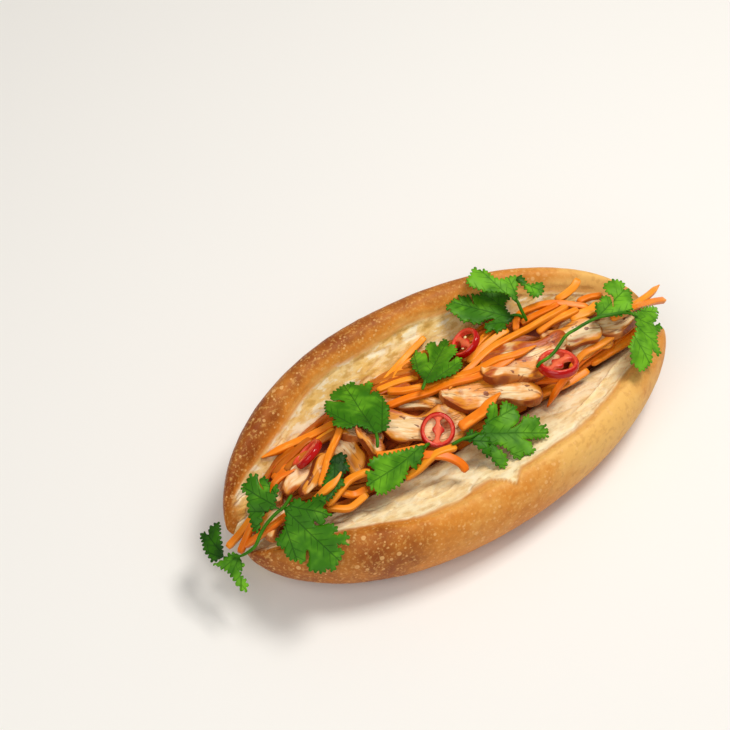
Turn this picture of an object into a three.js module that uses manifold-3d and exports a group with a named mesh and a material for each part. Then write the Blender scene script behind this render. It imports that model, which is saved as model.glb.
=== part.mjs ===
// Banh mi sandwich: a split crusty roll lying open, filled with carrot strips, sliced grilled
// chicken, chili rings and cilantro. Millimetres, +Z up, +X along the roll, front half towards -Y.
import * as THREE from 'three';
import { mergeVertices } from 'three/addons/utils/BufferGeometryUtils.js';
import Module from 'manifold-3d';

const wasm = await Module();
wasm.setup();

// ---- driving dimensions --------------------------------------------------------------------
const ROLL_STATIONS = 22; // sections along the roll
const CORE_STATIONS = 16; // sections along the heap's core
const CORE_STEPS = 7; // section sides over the core's top
const ROLL_CENTRE = -8; // where the roll is widest, along X
const CRUST_STEPS = 15; // section sides over the crust
const CRUMB_STEPS = 12; // section sides over the crumb
const BASE_TRIM = 0.8; // shaved off the underside, which leaves the flat that the roll rests on
const CLEARANCE = 0.3; // gap kept between neighbouring pieces

// Each half's section as [y, z] at the widest place, and as it is towards the ends, where the
// crust closes over more of the cut. The crust runs from the rim down to the base, and the crumb
// from the base through the hinge back up to the rim. tip is where the half ends, reach its ends.
const FRONT_HALF = {
  tip: [-7, 23],
  reach: [-118.5, 118],
  crust: [[-44, 40], [-48, 41], [-53.5, 37], [-57, 29], [-57.5, 18], [-53, 7.5], [-44, 1.5], [-33, 0], [-12, 0]],
  crustEnd: [[-29, 38], [-40, 41.5], [-51, 38], [-57, 29], [-57.5, 18], [-53, 7.5], [-44, 1.5], [-33, 0], [-12, 0]],
  crumb: [[-12, 0], [10, 0], [14, 4], [4, 10], [-4, 15], [-16, 27], [-29, 34], [-44, 40]],
  crumbEnd: [[-12, 0], [10, 0], [14, 4], [4, 10], [-4, 16], [-10, 24], [-18, 32], [-29, 38]],
};
const BACK_HALF = {
  tip: [9, 24],
  reach: [-120, 118.5],
  crust: [[43, 49.5], [45, 53.5], [50, 57.5], [55.5, 56.5], [60, 50], [62.5, 38], [61, 22], [54, 9], [42, 2], [30, 0]],
  crustEnd: [[32, 42], [40, 51], [47.5, 56.5], [54.5, 56], [60, 50], [62.5, 38], [61, 22], [54, 9], [42, 2], [30, 0]],
  crumb: [[30, 0], [-4, 0], [-8, 4], [0, 10], [9, 17], [22, 30], [34, 41], [43, 49.5]],
  crumbEnd: [[30, 0], [-4, 0], [-8, 4], [0, 10], [7, 16], [16, 26], [24, 34], [32, 42]],
};

// The heap's core at the widest place: its top as [y, z], front to back, then its foot.
const CORE = {
  tip: [2, 24],
  reach: [-112, 110],
  top: [[-14, 26], [-10, 33], [-1, 39.5], [10, 43.5], [20, 45], [28, 44], [33.5, 40]],
  foot: [[28, 24], [0, 8], [-12, 20]],
};

// ---- small helpers -------------------------------------------------------------------------
const lerp = THREE.MathUtils.lerp;
const smooth = t => THREE.MathUtils.smoothstep(t, 0, 1);
const taper = (s, power, root) => Math.pow(Math.max(0, 1 - Math.pow(Math.abs(s), power)), 1 / root);
const across = s => (s < 0 ? taper(s, 2.3, 1.5) : taper(s, 2.0, 1.5));
const upward = s => (s < 0 ? taper(s, 2.6, 1.9) : taper(s, 2.4, 1.9));
const towardsEnd = s => (s < 0 ? smooth((-s - 0.3) / 0.55) : smooth((s - 0.35) / 0.6));

function blend(a, b, t) {
  return a.map(([y, z], i) => [lerp(y, b[i][0], t), lerp(z, b[i][1], t)]);
}

function curvePoints(points, steps) {
  const curve = new THREE.CatmullRomCurve3(points.map(([y, z]) => new THREE.Vector3(0, y, z)));
  return curve.getSpacedPoints(steps).slice(0, steps);
}

// Rings of vertices joined into one closed body, with a point at each end.
function loft(rings, start, end) {
  const count = rings[0].length;
  const vertices = [...rings.flat(), start, end];
  const startIndex = rings.length * count;
  const faces = [];
  for (let i = 0; i < rings.length - 1; i++) {
    for (let j = 0; j < count; j++) {
      const a = i * count + j;
      const b = i * count + (j + 1) % count;
      faces.push(a, b, b + count, a, b + count, a + count);
    }
  }
  for (let j = 0; j < count; j++) {
    const next = (j + 1) % count;
    faces.push(startIndex, next, j);
    faces.push(startIndex + 1, startIndex - count + j, startIndex - count + next);
  }
  const geometry = new THREE.BufferGeometry().setFromPoints(vertices);
  geometry.setIndex(faces);
  return geometry;
}

function flipped(geometry) {
  const index = geometry.index.array;
  for (let i = 0; i < index.length; i += 3) {
    [index[i], index[i + 1]] = [index[i + 1], index[i]];
  }
  return geometry;
}

function solid(geometry) {
  const bare = new THREE.BufferGeometry();
  bare.setAttribute('position', geometry.getAttribute('position'));
  bare.setIndex(geometry.index);
  const merged = mergeVertices(bare, 1e-4);
  return new wasm.Manifold(new wasm.Mesh({
    numProp: 3,
    vertProperties: new Float32Array(merged.getAttribute('position').array),
    triVerts: new Uint32Array(merged.index.array),
  }));
}

function geometryOf(manifold) {
  const mesh = manifold.getMesh();
  const geometry = new THREE.BufferGeometry();
  geometry.setAttribute('position', new THREE.BufferAttribute(new Float32Array(mesh.vertProperties), 3));
  geometry.setIndex(new THREE.BufferAttribute(new Uint32Array(mesh.triVerts), 1));
  return geometry;
}

// ---- bread ---------------------------------------------------------------------------------
function alongRoll(reach, s) {
  return s < 0 ? lerp(ROLL_CENTRE, reach[0], -s) : lerp(ROLL_CENTRE, reach[1], s);
}

function placeSection(shape, points, s) {
  return points.map(p => new THREE.Vector3(
    alongRoll(shape.reach, s),
    lerp(shape.tip[0], p.y, across(s)),
    lerp(shape.tip[1], p.z, upward(s)),
  ));
}

function halfSection(half, s) {
  const t = towardsEnd(s);
  const crust = curvePoints(blend(half.crust, half.crustEnd, t), CRUST_STEPS);
  const crumb = curvePoints(blend(half.crumb, half.crumbEnd, t), CRUMB_STEPS);
  const section = placeSection(half, [...crust, ...crumb], s);
  section.forEach(p => p.setZ(Math.max(0, p.z - BASE_TRIM)));
  return section;
}

function alongStations(shape, count, section) {
  const rings = [];
  for (let i = 1; i < count; i++) rings.push(section(-Math.cos(Math.PI * i / count)));
  const ends = shape.reach.map(x => new THREE.Vector3(x, ...shape.tip));
  return loft(rings, ...ends);
}

const frontHalf = alongStations(FRONT_HALF, ROLL_STATIONS, s => halfSection(FRONT_HALF, s));
const backHalf = flipped(alongStations(BACK_HALF, ROLL_STATIONS, s => halfSection(BACK_HALF, s)));
const bread = solid(frontHalf).add(solid(backHalf));

// ---- heap core -----------------------------------------------------------------------------
function coreSection(s) {
  const top = curvePoints(CORE.top, CORE_STEPS);
  const foot = [CORE.top[CORE.top.length - 1], ...CORE.foot].map(([y, z]) => new THREE.Vector3(0, y, z));
  return placeSection(CORE, [...top, ...foot], s);
}

// The crumb faces moved into the pocket by the clearance, cut from whatever lies in it.
const crumbSpace = solid(frontHalf.clone().translate(0, CLEARANCE, CLEARANCE))
  .add(solid(backHalf.clone().translate(0, -CLEARANCE, CLEARANCE)));

const core = solid(flipped(alongStations(CORE, CORE_STATIONS, coreSection))).subtract(crumbSpace);

// ---- relief: the height of what lies in the roll so far, on a plan grid ---------------------
const RELIEF_CELL = 1.25;
const RELIEF_REACH = [150, 75];
const RESTING_PASSES = 60;
const RESTING_RATE = 0.5;

class Relief {
  constructor() {
    this.columns = Math.ceil(2 * RELIEF_REACH[0] / RELIEF_CELL) + 1;
    this.rows = Math.ceil(2 * RELIEF_REACH[1] / RELIEF_CELL) + 1;
    this.heights = new Float32Array(this.columns * this.rows).fill(-Infinity);
  }

  // Every triangle raises the cells under it, by lift more than its own height.
  stamp(geometry, lift) {
    const position = geometry.getAttribute('position');
    const index = geometry.index.array;
    const toCell = (value, reach) => (value + reach) / RELIEF_CELL;
    for (let i = 0; i < index.length; i += 3) {
      const corners = [0, 1, 2].map(k => ({
        c: toCell(position.getX(index[i + k]), RELIEF_REACH[0]),
        r: toCell(position.getY(index[i + k]), RELIEF_REACH[1]),
        z: position.getZ(index[i + k]),
      }));
      const [a, b, c] = corners;
      const area = (b.c - a.c) * (c.r - a.r) - (c.c - a.c) * (b.r - a.r);
      if (area < 1e-6) continue;
      const [cMin, cMax] = [Math.min(a.c, b.c, c.c), Math.max(a.c, b.c, c.c)];
      const [rMin, rMax] = [Math.min(a.r, b.r, c.r), Math.max(a.r, b.r, c.r)];
      for (let row = Math.ceil(rMin); row <= rMax; row++) {
        for (let column = Math.ceil(cMin); column <= cMax; column++) {
          const u = ((column - a.c) * (c.r - a.r) - (c.c - a.c) * (row - a.r)) / area;
          const v = ((b.c - a.c) * (row - a.r) - (column - a.c) * (b.r - a.r)) / area;
          if (u < 0 || v < 0 || u + v > 1) continue;
          const cell = row * this.columns + column;
          const z = a.z + u * (b.z - a.z) + v * (c.z - a.z) + lift;
          this.heights[cell] = Math.max(this.heights[cell], z);
        }
      }
    }
  }

  // How far the relief rises above a triangle of corners, at most.
  above(a, b, c) {
    let most = 0;
    const steps = Math.ceil(Math.max(a.distanceTo(b), b.distanceTo(c), c.distanceTo(a)) / RELIEF_CELL);
    for (let i = 0; i <= steps; i++) {
      for (let j = 0; j <= steps - i; j++) {
        const [u, v] = [i / steps, j / steps];
        const p = a.clone().multiplyScalar(1 - u - v).addScaledVector(b, u).addScaledVector(c, v);
        most = Math.max(most, this.at(p.x, p.y) - p.z);
      }
    }
    return most;
  }

  // The highest cell within a radius of a place.
  at(x, y, radius = RELIEF_CELL) {
    const [c, r] = [(x + RELIEF_REACH[0]) / RELIEF_CELL, (y + RELIEF_REACH[1]) / RELIEF_CELL];
    const span = radius / RELIEF_CELL;
    let highest = -Infinity;
    for (let row = Math.ceil(r - span); row <= r + span; row++) {
      for (let column = Math.ceil(c - span); column <= c + span; column++) {
        highest = Math.max(highest, this.heights[row * this.columns + column]);
      }
    }
    return highest;
  }
}

// Heights of a stiff thing laid on supports: it rests on the high ones and bridges the low ones.
// A pinned height stays, and the ends droop by sag below their neighbours until they touch.
function restOn(supports, sag, pins = []) {
  const last = supports.length - 1;
  const start = Math.max(...supports.filter(Number.isFinite));
  let heights = supports.map((z, i) => pins[i] ?? (Number.isFinite(z) ? z : start));
  for (let pass = 0; pass < RESTING_PASSES; pass++) {
    heights = heights.map((z, i) => {
      if (pins[i] !== undefined) return pins[i];
      const free = i === 0 ? heights[1] - sag
        : i === last ? heights[last - 1] - sag
          : (heights[i - 1] + heights[i + 1]) / 2 - sag / 8;
      return Math.max(supports[i], lerp(z, free, RESTING_RATE));
    });
  }
  return heights;
}

const relief = new Relief();

// ---- chicken -------------------------------------------------------------------------------
const CHICKEN_STEPS = 6;
const CHICKEN_SIDES = 6;
const CHICKEN_SINK = 3; // how far a slice settles into the carrots under it
const CHICKEN_UNEVEN = 0.14; // how far a slice's width varies, as a share of it
const CHICKEN_BEND = 0.13; // how far a slice's middle line swings aside, as a share of its width
const CHICKEN_SLOPE = 0.7; // the steepest that a slice leans to the side
const CHICKEN_FLAT = 0.75; // a power below 1 squares the section
// Slices as [x, y] of the middle, [length, width, thickness], turn in plan, waviness phase.
const CHICKEN = [
  { at: [-102, -4], size: [21, 9, 6], turn: 40, wave: 1 },
  { at: [-95, 3], size: [10, 6, 5], turn: 20, wave: 2 },
  { at: [-82, 4], size: [27, 8, 6], turn: 14, wave: 3 },
  { at: [-79, -1], size: [24, 5.5, 6], turn: 26, wave: 4 },
  { at: [-59, 2], size: [21, 12, 7], turn: -68, wave: 5 },
  { at: [-50, 7], size: [22, 9, 6], turn: -36, wave: 0.5 },
  { at: [-50, -1], size: [15, 8, 6], turn: -58, wave: 1.5 },
  { at: [-20, 9], size: [34, 8, 6], turn: -36, wave: 2.5 },
  { at: [-22.5, -3.5], size: [43, 17, 7], turn: -20, wave: 3.5 },
  { at: [13.5, -6], size: [48, 15, 7], turn: -26, wave: 4.5 },
  { at: [36.5, -0.5], size: [48, 15, 8], turn: -3, wave: 5.5 },
  { at: [66, 0.5], size: [32, 10, 7], turn: -25, wave: 0 },
  { at: [84, 2.5], size: [43, 11, 7], turn: -11, wave: 1.2 },
  { at: [75, -8], size: [23, 8, 5], turn: -12, wave: 2.2 },
];

// A slice laid on what is under it, grown all round by grow.
function chickenSlice({ at, size, turn, wave }, grow) {
  const [length, width, thick] = size;
  const angle = THREE.MathUtils.degToRad(turn);
  const along = new THREE.Vector3(Math.cos(angle), Math.sin(angle), 0);
  const aside = new THREE.Vector3(-Math.sin(angle), Math.cos(angle), 0);
  const stations = [];
  for (let i = 0; i <= CHICKEN_STEPS; i++) {
    const t = -Math.cos(Math.PI * i / CHICKEN_STEPS);
    const half = width / 2 * taper(t, 3, 2) * (1 + CHICKEN_UNEVEN * Math.sin(wave * 5 + 3.1 * t)) + grow;
    const middle = new THREE.Vector3(...at, 0)
      .addScaledVector(along, t * length / 2)
      .addScaledVector(aside, width * CHICKEN_BEND * Math.sin(wave * 3 + 2.4 * t));
    const reach = width * 0.3;
    const [left, centre, right] = [-reach, 0, reach].map(offset => {
      const p = middle.clone().addScaledVector(aside, offset);
      return relief.at(p.x, p.y);
    });
    const lean = (right - left) / (2 * reach);
    const slope = Number.isFinite(lean) ? THREE.MathUtils.clamp(lean, -CHICKEN_SLOPE, CHICKEN_SLOPE) : 0;
    stations.push({ t, half, middle, slope, support: Math.max(centre, (left + right) / 2) });
  }
  const heights = restOn(stations.map(station => station.support), 0);
  const meanSlope = stations.reduce((sum, station) => sum + station.slope, 0) / stations.length;
  stations.forEach((station, i) => {
    station.middle.setZ(heights[i] + thick / 2).addScaledVector(along, station.t * grow);
    station.slope = lerp(meanSlope, station.slope, 0.4);
  });
  const rings = stations.slice(1, -1).map(({ t, half, middle, slope }) => {
    const deep = thick / 2 * taper(t, 4, 2.4) + grow;
    const tilt = Math.atan(slope);
    const side = aside.clone().multiplyScalar(Math.cos(tilt)).setZ(Math.sin(tilt));
    const up = new THREE.Vector3().crossVectors(along, side);
    return Array.from({ length: CHICKEN_SIDES }, (_, j) => {
      const phi = 2 * Math.PI * j / CHICKEN_SIDES;
      const round = value => Math.sign(value) * Math.pow(Math.abs(value), CHICKEN_FLAT);
      return middle.clone()
        .addScaledVector(side, half * round(Math.cos(phi)))
        .addScaledVector(up, deep * round(Math.sin(phi)));
    });
  });
  return loft(rings, stations[0].middle, stations[CHICKEN_STEPS].middle);
}

// ---- chili rings ---------------------------------------------------------------------------
const RING_RADIUS = 8;
const RING_WALL = 1.9;
const RING_HEIGHT = 3.4;
const RING_ROUND = 0.9;
const RING_SIDES = 12;
// The web across a ring: half widths along a diameter, with the seed core at the middle.
const WEB_REACH = RING_RADIUS - RING_WALL / 2;
const WEB = [[-WEB_REACH, 0.8], [-2, 1], [0, 2.3], [2, 1], [WEB_REACH, 0.8]];
const WEB_DEPTH = RING_HEIGHT * 0.62;
// Rings as [x, y, z] of the middle, the azimuth and elevation that the cut face looks to, and how
// far the filling stays clear in front of it.
const CHILI = [
  { at: [-19.8, -11.3, 47], facing: [-123, 53], spin: 37, size: 1, open: 6 },
  { at: [46.8, -11.9, 49.5], facing: [57, 73], spin: 20, size: 1.25, open: 6 },
  { at: [17, 20, 51.5], facing: [142, 57], spin: 70, size: 1, open: 4 },
  { at: [-76, 10, 46], facing: [112, 37], spin: 0, size: 1.08, open: 4 },
];

// Where a ring sits: its axis, +Y in its own frame, turned to face out of the filling.
function ringPlace({ at, facing, spin }) {
  const [azimuth, elevation] = facing.map(THREE.MathUtils.degToRad);
  const normal = new THREE.Vector3(
    Math.cos(azimuth) * Math.cos(elevation), Math.sin(azimuth) * Math.cos(elevation), Math.sin(elevation));
  const turn = new THREE.Quaternion().setFromUnitVectors(new THREE.Vector3(0, 1, 0), normal);
  const place = new THREE.Matrix4().makeRotationFromQuaternion(turn).setPosition(...at);
  return place.multiply(new THREE.Matrix4().makeRotationY(THREE.MathUtils.degToRad(spin)));
}

function chiliRing(item) {
  const outer = RING_RADIUS * item.size;
  const inner = (RING_RADIUS - RING_WALL) * item.size;
  const half = RING_HEIGHT * item.size / 2;
  const profile = [
    [inner, -half], [outer - RING_ROUND, -half], [outer, -half + RING_ROUND],
    [outer, half - RING_ROUND], [outer - RING_ROUND, half], [inner, half], [inner, -half],
  ];
  const wall = new THREE.LatheGeometry(profile.map(p => new THREE.Vector2(...p)), RING_SIDES);
  const outline = [...WEB, ...WEB.toReversed().map(([x, y]) => [x, -y])];
  const shape = new THREE.Shape(outline.map(p => new THREE.Vector2(...p).multiplyScalar(item.size)));
  const depth = WEB_DEPTH * item.size;
  const web = new THREE.ExtrudeGeometry(shape, { depth, bevelEnabled: false });
  web.translate(0, 0, -depth / 2).rotateX(Math.PI / 2);
  const place = ringPlace(item);
  return solid(indexed(wall).applyMatrix4(place)).add(solid(indexed(web).applyMatrix4(place)));
}

// The room that a ring keeps for itself, and in front of its cut face.
function ringRoom(item) {
  const back = RING_HEIGHT * item.size / 2 + CLEARANCE;
  const radius = RING_RADIUS * item.size + CLEARANCE;
  const disc = new THREE.CylinderGeometry(radius, radius, back + item.open, RING_SIDES);
  disc.translate(0, (item.open - back) / 2, 0);
  return solid(indexed(disc).applyMatrix4(ringPlace(item)));
}

function indexed(geometry) {
  const bare = new THREE.BufferGeometry();
  bare.setAttribute('position', geometry.getAttribute('position'));
  bare.setIndex(geometry.index ?? [...Array(geometry.getAttribute('position').count).keys()]);
  return mergeVertices(bare, 1e-4);
}

// ---- carrot strips -------------------------------------------------------------------------
const STRIP_WIDTH = 3.4;
const STRIP_THICK = 2.8;
const STRIP_STEP = 13;
const STRIP_SAG = 7;
const STRIP_SINK = 1; // how far a strip settles into the strips and core under it
const STRIP_SPAN = 2.4; // a strip looks this far round for firm things that hold it up
const STRIP_POINT = 0.35; // size of a pointed end
// Strips as plan points, a third value being a height where an end hangs free. wide is a thicker
// cut, tip the end that is cut to a point, -1 the first, 1 the last, and a strip that runs beside
// the slices isn't held up by them.
const STRIPS = [
  // right end and the back edge
  { path: [[66, 7], [87, 2], [102, 4], [126, 8, 35]], tip: 1 },
  { path: [[84, 1], [98, 0], [112, 2], [123, 0, 33]] },
  { path: [[70, 21], [78, 25], [89, 27]] },
  { path: [[46, 13], [50, 21], [56, 25], [66, 25], [76, 22], [84, 13]] },
  { path: [[82, 16], [92, 18], [101, 16]] },
  { path: [[68, 9], [80, 12], [94, 12]], wide: 1.5 },
  { path: [[42, 14], [51, 17], [66, 18]] },
  { path: [[48, 9], [67, 12], [82, 17], [96, 17]] },
  { path: [[40, 11], [46, 20], [56, 27]] },
  // front edge, right
  { path: [[109, 0], [103, -2], [90, -5], [76.5, -7.5], [64.5, -9], [56, -9.5]], beside: true },
  { path: [[63.5, -9.5], [47.5, -11], [36.5, -11.5], [27, -11.5]], beside: true },
  { path: [[71.5, -9], [59, -10], [49.5, -10.5], [42, -11], [36, -11]], beside: true },
  { path: [[107.5, 1.5], [95, -2], [82.5, -5], [71.5, -6.5], [61, -7.5]], beside: true },
  { path: [[89, -3.5], [78, -5], [68, -6], [60.5, -7]], beside: true },
  { path: [[28.5, -6], [36, -7.5], [44.5, -9], [53, -9.5], [61, -8.5]], beside: true },
  { path: [[34, -22], [46, -13], [58, -9]], tip: -1 },
  // over the middle
  { path: [[-5, 4], [14, 9], [32, 13], [50, 14], [78, 17]], tip: -1 },
  { path: [[-28, 19], [-11, 12], [6, 8], [22, 5], [36, 4], [49, 4]] },
  { path: [[-31, 12], [-16, 8], [-2, 6], [14, 3], [26, 1]], wide: 1.1 },
  { path: [[8, 14], [22, 16], [38, 20]] },
  { path: [[16, 11], [28, 14], [40, 17]] },
  { path: [[-33, 21], [-19, 29], [-6, 34], [6, 37]] },
  { path: [[-22, 22], [-13, 29], [4, 32]] },
  { path: [[-30, 23], [-20, 22], [-9, 20]] },
  { path: [[24, 25], [34, 29], [46, 30]] },
  // front edge, middle
  { path: [[-50, -5], [-36, -8], [-16, -13]] },
  { path: [[-24, -12], [-10, -12], [2, -11], [20, -7]], wide: 1.4, tip: 1 },
  { path: [[-38, -11], [-27, -17], [-20, -24], [-17, -31]] },
  { path: [[-42, -14], [-29, -17], [-15, -17], [-4, -15]] },
  // left
  { path: [[-80, -10], [-67, -9], [-58, -8], [-50, -8]] },
  { path: [[-90, -10], [-76, -6], [-64, -1]] },
  { path: [[-79, -5], [-73, 1], [-65, 8], [-58, 13]] },
  { path: [[-76, -8], [-67, -11], [-55, -11]] },
  { path: [[-81, -11], [-71, -14], [-58, -14]] },
  { path: [[-92, 24], [-78, 23], [-68, 21], [-55, 20]], tip: -1 },
  { path: [[-93, 13], [-83, 14], [-71, 16], [-57, 17]] },
  { path: [[-96, 7], [-88, 10], [-80, 14]], wide: 1.2 },
  { path: [[-103, 1], [-95, 6], [-86, 5], [-76, 6]], tip: 1 },
  { path: [[-93, 10, 33], [-105, 6], [-117, 2], [-125, 0, 24]] },
  { path: [[-92, 5, 32], [-106, 1], [-114, -2], [-122, -6, 25]] },
  { path: [[-92, -4, 28], [-102, -8], [-111, -8], [-119, -5, 27]] },
];

function stripSolid({ path, wide = 1, tip = 0, beside = false }, firmTop, softTop) {
  const plan = new THREE.CatmullRomCurve3(path.map(([x, y]) => new THREE.Vector3(x, y, 0)));
  const count = Math.max(3, Math.round(plan.getLength() / STRIP_STEP));
  const spine = plan.getSpacedPoints(count);
  const half = STRIP_THICK / 2;
  const supports = spine.map(p => Math.max(
    beside ? -Infinity : firmTop.at(p.x, p.y, STRIP_SPAN) + half + CLEARANCE,
    softTop.at(p.x, p.y) + half - STRIP_SINK,
  ));
  const [startHeight, endHeight] = [path[0][2], path[path.length - 1][2]];
  const pins = [];
  if (startHeight) pins[0] = startHeight;
  if (endHeight) pins[count] = endHeight;
  restOn(supports, STRIP_SAG, pins).forEach((z, i) => spine[i].setZ(z));
  const curve = new THREE.CatmullRomCurve3(spine);
  const rings = spine.map((p, i) => {
    const forward = curve.getTangent(i / count);
    const side = new THREE.Vector3(-forward.y, forward.x, 0).normalize();
    const up = new THREE.Vector3().crossVectors(forward, side);
    const pointed = (tip < 0 && i === 0) || (tip > 0 && i === count);
    const scale = pointed ? STRIP_POINT : 1;
    return [[1, 1], [-1, 1], [-1, -1], [1, -1]].map(([a, b]) => p.clone()
      .addScaledVector(side, a * STRIP_WIDTH * wide / 2 * scale)
      .addScaledVector(up, b * half * scale));
  });
  return loft(rings, spine[0], spine[count]);
}

// ---- cilantro ------------------------------------------------------------------------------
const LEAF_THICK = 0.9;
const LEAF_SPOKES = 16;
const LEAF_RINGS = [0.55, 1];
const LEAF_DROOP = 0.3;
const LEAF_MIDDLE = 0.32; // where a leaf's spokes meet, as a share of its length
const LEAF_TOOTH = 0.06; // how far its edge goes in and out, as a share of a spoke
const LOBE_NOTCHES = [[0.78, 1], [1.9, 0.7]]; // angles between the lobes, and how deep each notch is
const NOTCH_SPREAD = 0.17;
const LEAF_GAP = 0.6;
const LEAF_LIFTS = 5; // rounds of lifting a leaf off what its triangles would still touch
const STALK_RADIUS = 0.85;
const STALK_SIDES = 4;
const STALK_STEP = 5;
const STALK_SEAT = 3; // a stalk lies on its leaf this near to the leaf's base
const STALK_SPAN = 3.5; // a stalk looks this far round for what holds it up
const JOINT_REACH = 3.5; // a stalk that starts this near an earlier one in its sprig joins it
// Sprigs of leaves, each from its base to its tip, with the plan points of the stalk before the
// base. A third value is a height that the leaf holds where it stands clear of the filling.
const SPRIGS = [
  [
    { base: [-98, -4], tip: [-90, -38], width: 30, stalk: [[-89, 0], [-95, -2]] },
    { base: [-99, -2], tip: [-108, 15], width: 22, stalk: [[-95, -2]] },
    { base: [-121, -9, 29], tip: [-131, -18, 22], width: 15, notch: 0.2, stalk: [[-98, -4], [-110, -7]] },
    { base: [-126, -6, 25], tip: [-127, 15, 20], width: 13, stalk: [[-119, -9]] },
  ],
  [{ base: [-44, 3], tip: [-47, 30], width: 29, stalk: [[-49, -5]] }],
  [{ base: [-10, 12], tip: [5, 29], width: 25, stalk: [[-12, 8]] }],
  [{ base: [-33, -19], tip: [-59, -14], width: 18, stalk: [[-30, -19]] }],
  [
    { base: [0, -19], tip: [26, -30], width: 30, notch: 0.5, stalk: [[-14, -14], [-8, -17]] },
    { base: [-3, -18], tip: [-15, -22], width: 11, stalk: [[2, -19]] },
  ],
  [{ base: [47, 20], tip: [23, 38], width: 22, stalk: [[50, 17]] }],
  [
    { base: [52, 28, 57], tip: [34, 44, 62], width: 17, stalk: [[50, 15], [52, 22]] },
    { base: [54, 27, 57], tip: [63, 22, 58], width: 10, notch: 0.2, stalk: [[52, 26]] },
  ],
  [
    { base: [85, 1], tip: [102, 12], width: 21, stalk: [[41, -6], [57, -1], [71, 2]] },
    { base: [98, -4], tip: [91, -31], width: 24, stalk: [[84, 1]] },
  ],
  [{ base: [-65, 3], tip: [-79, -10], width: 10, stalk: [[-61, 5]] }],
];

// The outline of a leaf as a reach at each angle from its middle: notched between the lobes.
function leafReach(angle, length, width, notch) {
  const forward = length * (Math.cos(angle) > 0 ? 1 - LEAF_MIDDLE : LEAF_MIDDLE);
  const oval = 1 / Math.hypot(Math.cos(angle) / forward, Math.sin(angle) / (width / 2));
  const dip = place => Math.exp(-Math.pow((Math.abs(angle) - place) / NOTCH_SPREAD, 2));
  return LOBE_NOTCHES.reduce((reach, [place, depth]) => reach - oval * notch * depth * dip(place), oval);
}

// A leaf's corners in plan: the middle, then rings of spokes. Both faces share the triangles.
function leafPlan({ base, tip, width, notch = 0.35 }) {
  const start = new THREE.Vector2(base[0], base[1]);
  const axis = new THREE.Vector2(tip[0], tip[1]).sub(start);
  const length = axis.length();
  axis.normalize();
  const side = new THREE.Vector2(-axis.y, axis.x);
  const middle = start.clone().addScaledVector(axis, LEAF_MIDDLE * length);
  const corners = [middle];
  for (const ring of LEAF_RINGS) {
    for (let k = 0; k < LEAF_SPOKES; k++) {
      const angle = 2 * Math.PI * k / LEAF_SPOKES;
      const signed = angle > Math.PI ? angle - 2 * Math.PI : angle;
      const tooth = ring === 1 ? 1 + LEAF_TOOTH * (k % 2 ? -1 : 1) : 1;
      const reach = ring * tooth * leafReach(signed, length, width, notch);
      corners.push(middle.clone()
        .addScaledVector(axis, reach * Math.cos(angle))
        .addScaledVector(side, reach * Math.sin(angle)));
    }
  }
  const faces = [];
  for (let k = 0; k < LEAF_SPOKES; k++) {
    const next = (k + 1) % LEAF_SPOKES;
    faces.push([0, 1 + k, 1 + next]);
    const [a, b] = [1 + k, 1 + next];
    faces.push([a, a + LEAF_SPOKES, b + LEAF_SPOKES], [a, b + LEAF_SPOKES, b]);
  }
  const held = corners.map(corner => {
    if (base[2] === undefined) return -Infinity;
    const t = corner.clone().sub(start).dot(axis) / length;
    return lerp(base[2], tip[2], t);
  });
  return { corners, faces, held };
}

function neighbours(count, faces) {
  const near = Array.from({ length: count }, () => new Set());
  faces.forEach(face => face.forEach(a => face.forEach(b => a !== b && near[a].add(b))));
  return near.map(set => [...set]);
}

// Lets the corners sink until they rest on their supports or hang between their neighbours.
function relaxed(supports, near) {
  const start = Math.max(...supports.filter(Number.isFinite));
  let heights = supports.map(z => (Number.isFinite(z) ? z : start));
  for (let pass = 0; pass < RESTING_PASSES; pass++) {
    heights = heights.map((z, i) => {
      const mean = near[i].reduce((sum, j) => sum + heights[j], 0) / near[i].length;
      return Math.max(supports[i], lerp(z, mean - LEAF_DROOP, RESTING_RATE));
    });
  }
  return heights;
}

function drapedLeaf(leaf, top) {
  const { corners, faces, held } = leafPlan(leaf);
  const stem = [0, 1 + LEAF_SPOKES / 2, 1 + 3 * LEAF_SPOKES / 2];
  const supports = corners.map((p, i) => Math.max(
    held[i],
    top.at(p.x, p.y, stem.includes(i) ? STALK_SPAN : RELIEF_CELL) + LEAF_GAP,
  ));
  const near = neighbours(corners.length, faces);
  let lower;
  for (let lift = 0; lift < LEAF_LIFTS; lift++) {
    const heights = relaxed(supports, near);
    lower = corners.map((p, i) => new THREE.Vector3(p.x, p.y, heights[i]));
    for (const face of faces) {
      const short = top.above(...face.map(i => lower[i]));
      if (short === 0) continue;
      for (const i of face) supports[i] = Math.max(supports[i], heights[i] + short + LEAF_GAP);
    }
  }
  const count = corners.length;
  const upper = lower.map(p => p.clone().setZ(p.z + LEAF_THICK));
  const index = [];
  faces.forEach(([a, b, c]) => index.push(a + count, b + count, c + count, c, b, a));
  for (let k = 0; k < LEAF_SPOKES; k++) {
    const a = count - LEAF_SPOKES + k;
    const b = count - LEAF_SPOKES + (k + 1) % LEAF_SPOKES;
    index.push(a, b, b + count, a, b + count, a + count);
  }
  const geometry = new THREE.BufferGeometry().setFromPoints([...lower, ...upper]);
  geometry.setIndex(index);
  return { geometry, lower };
}

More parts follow.
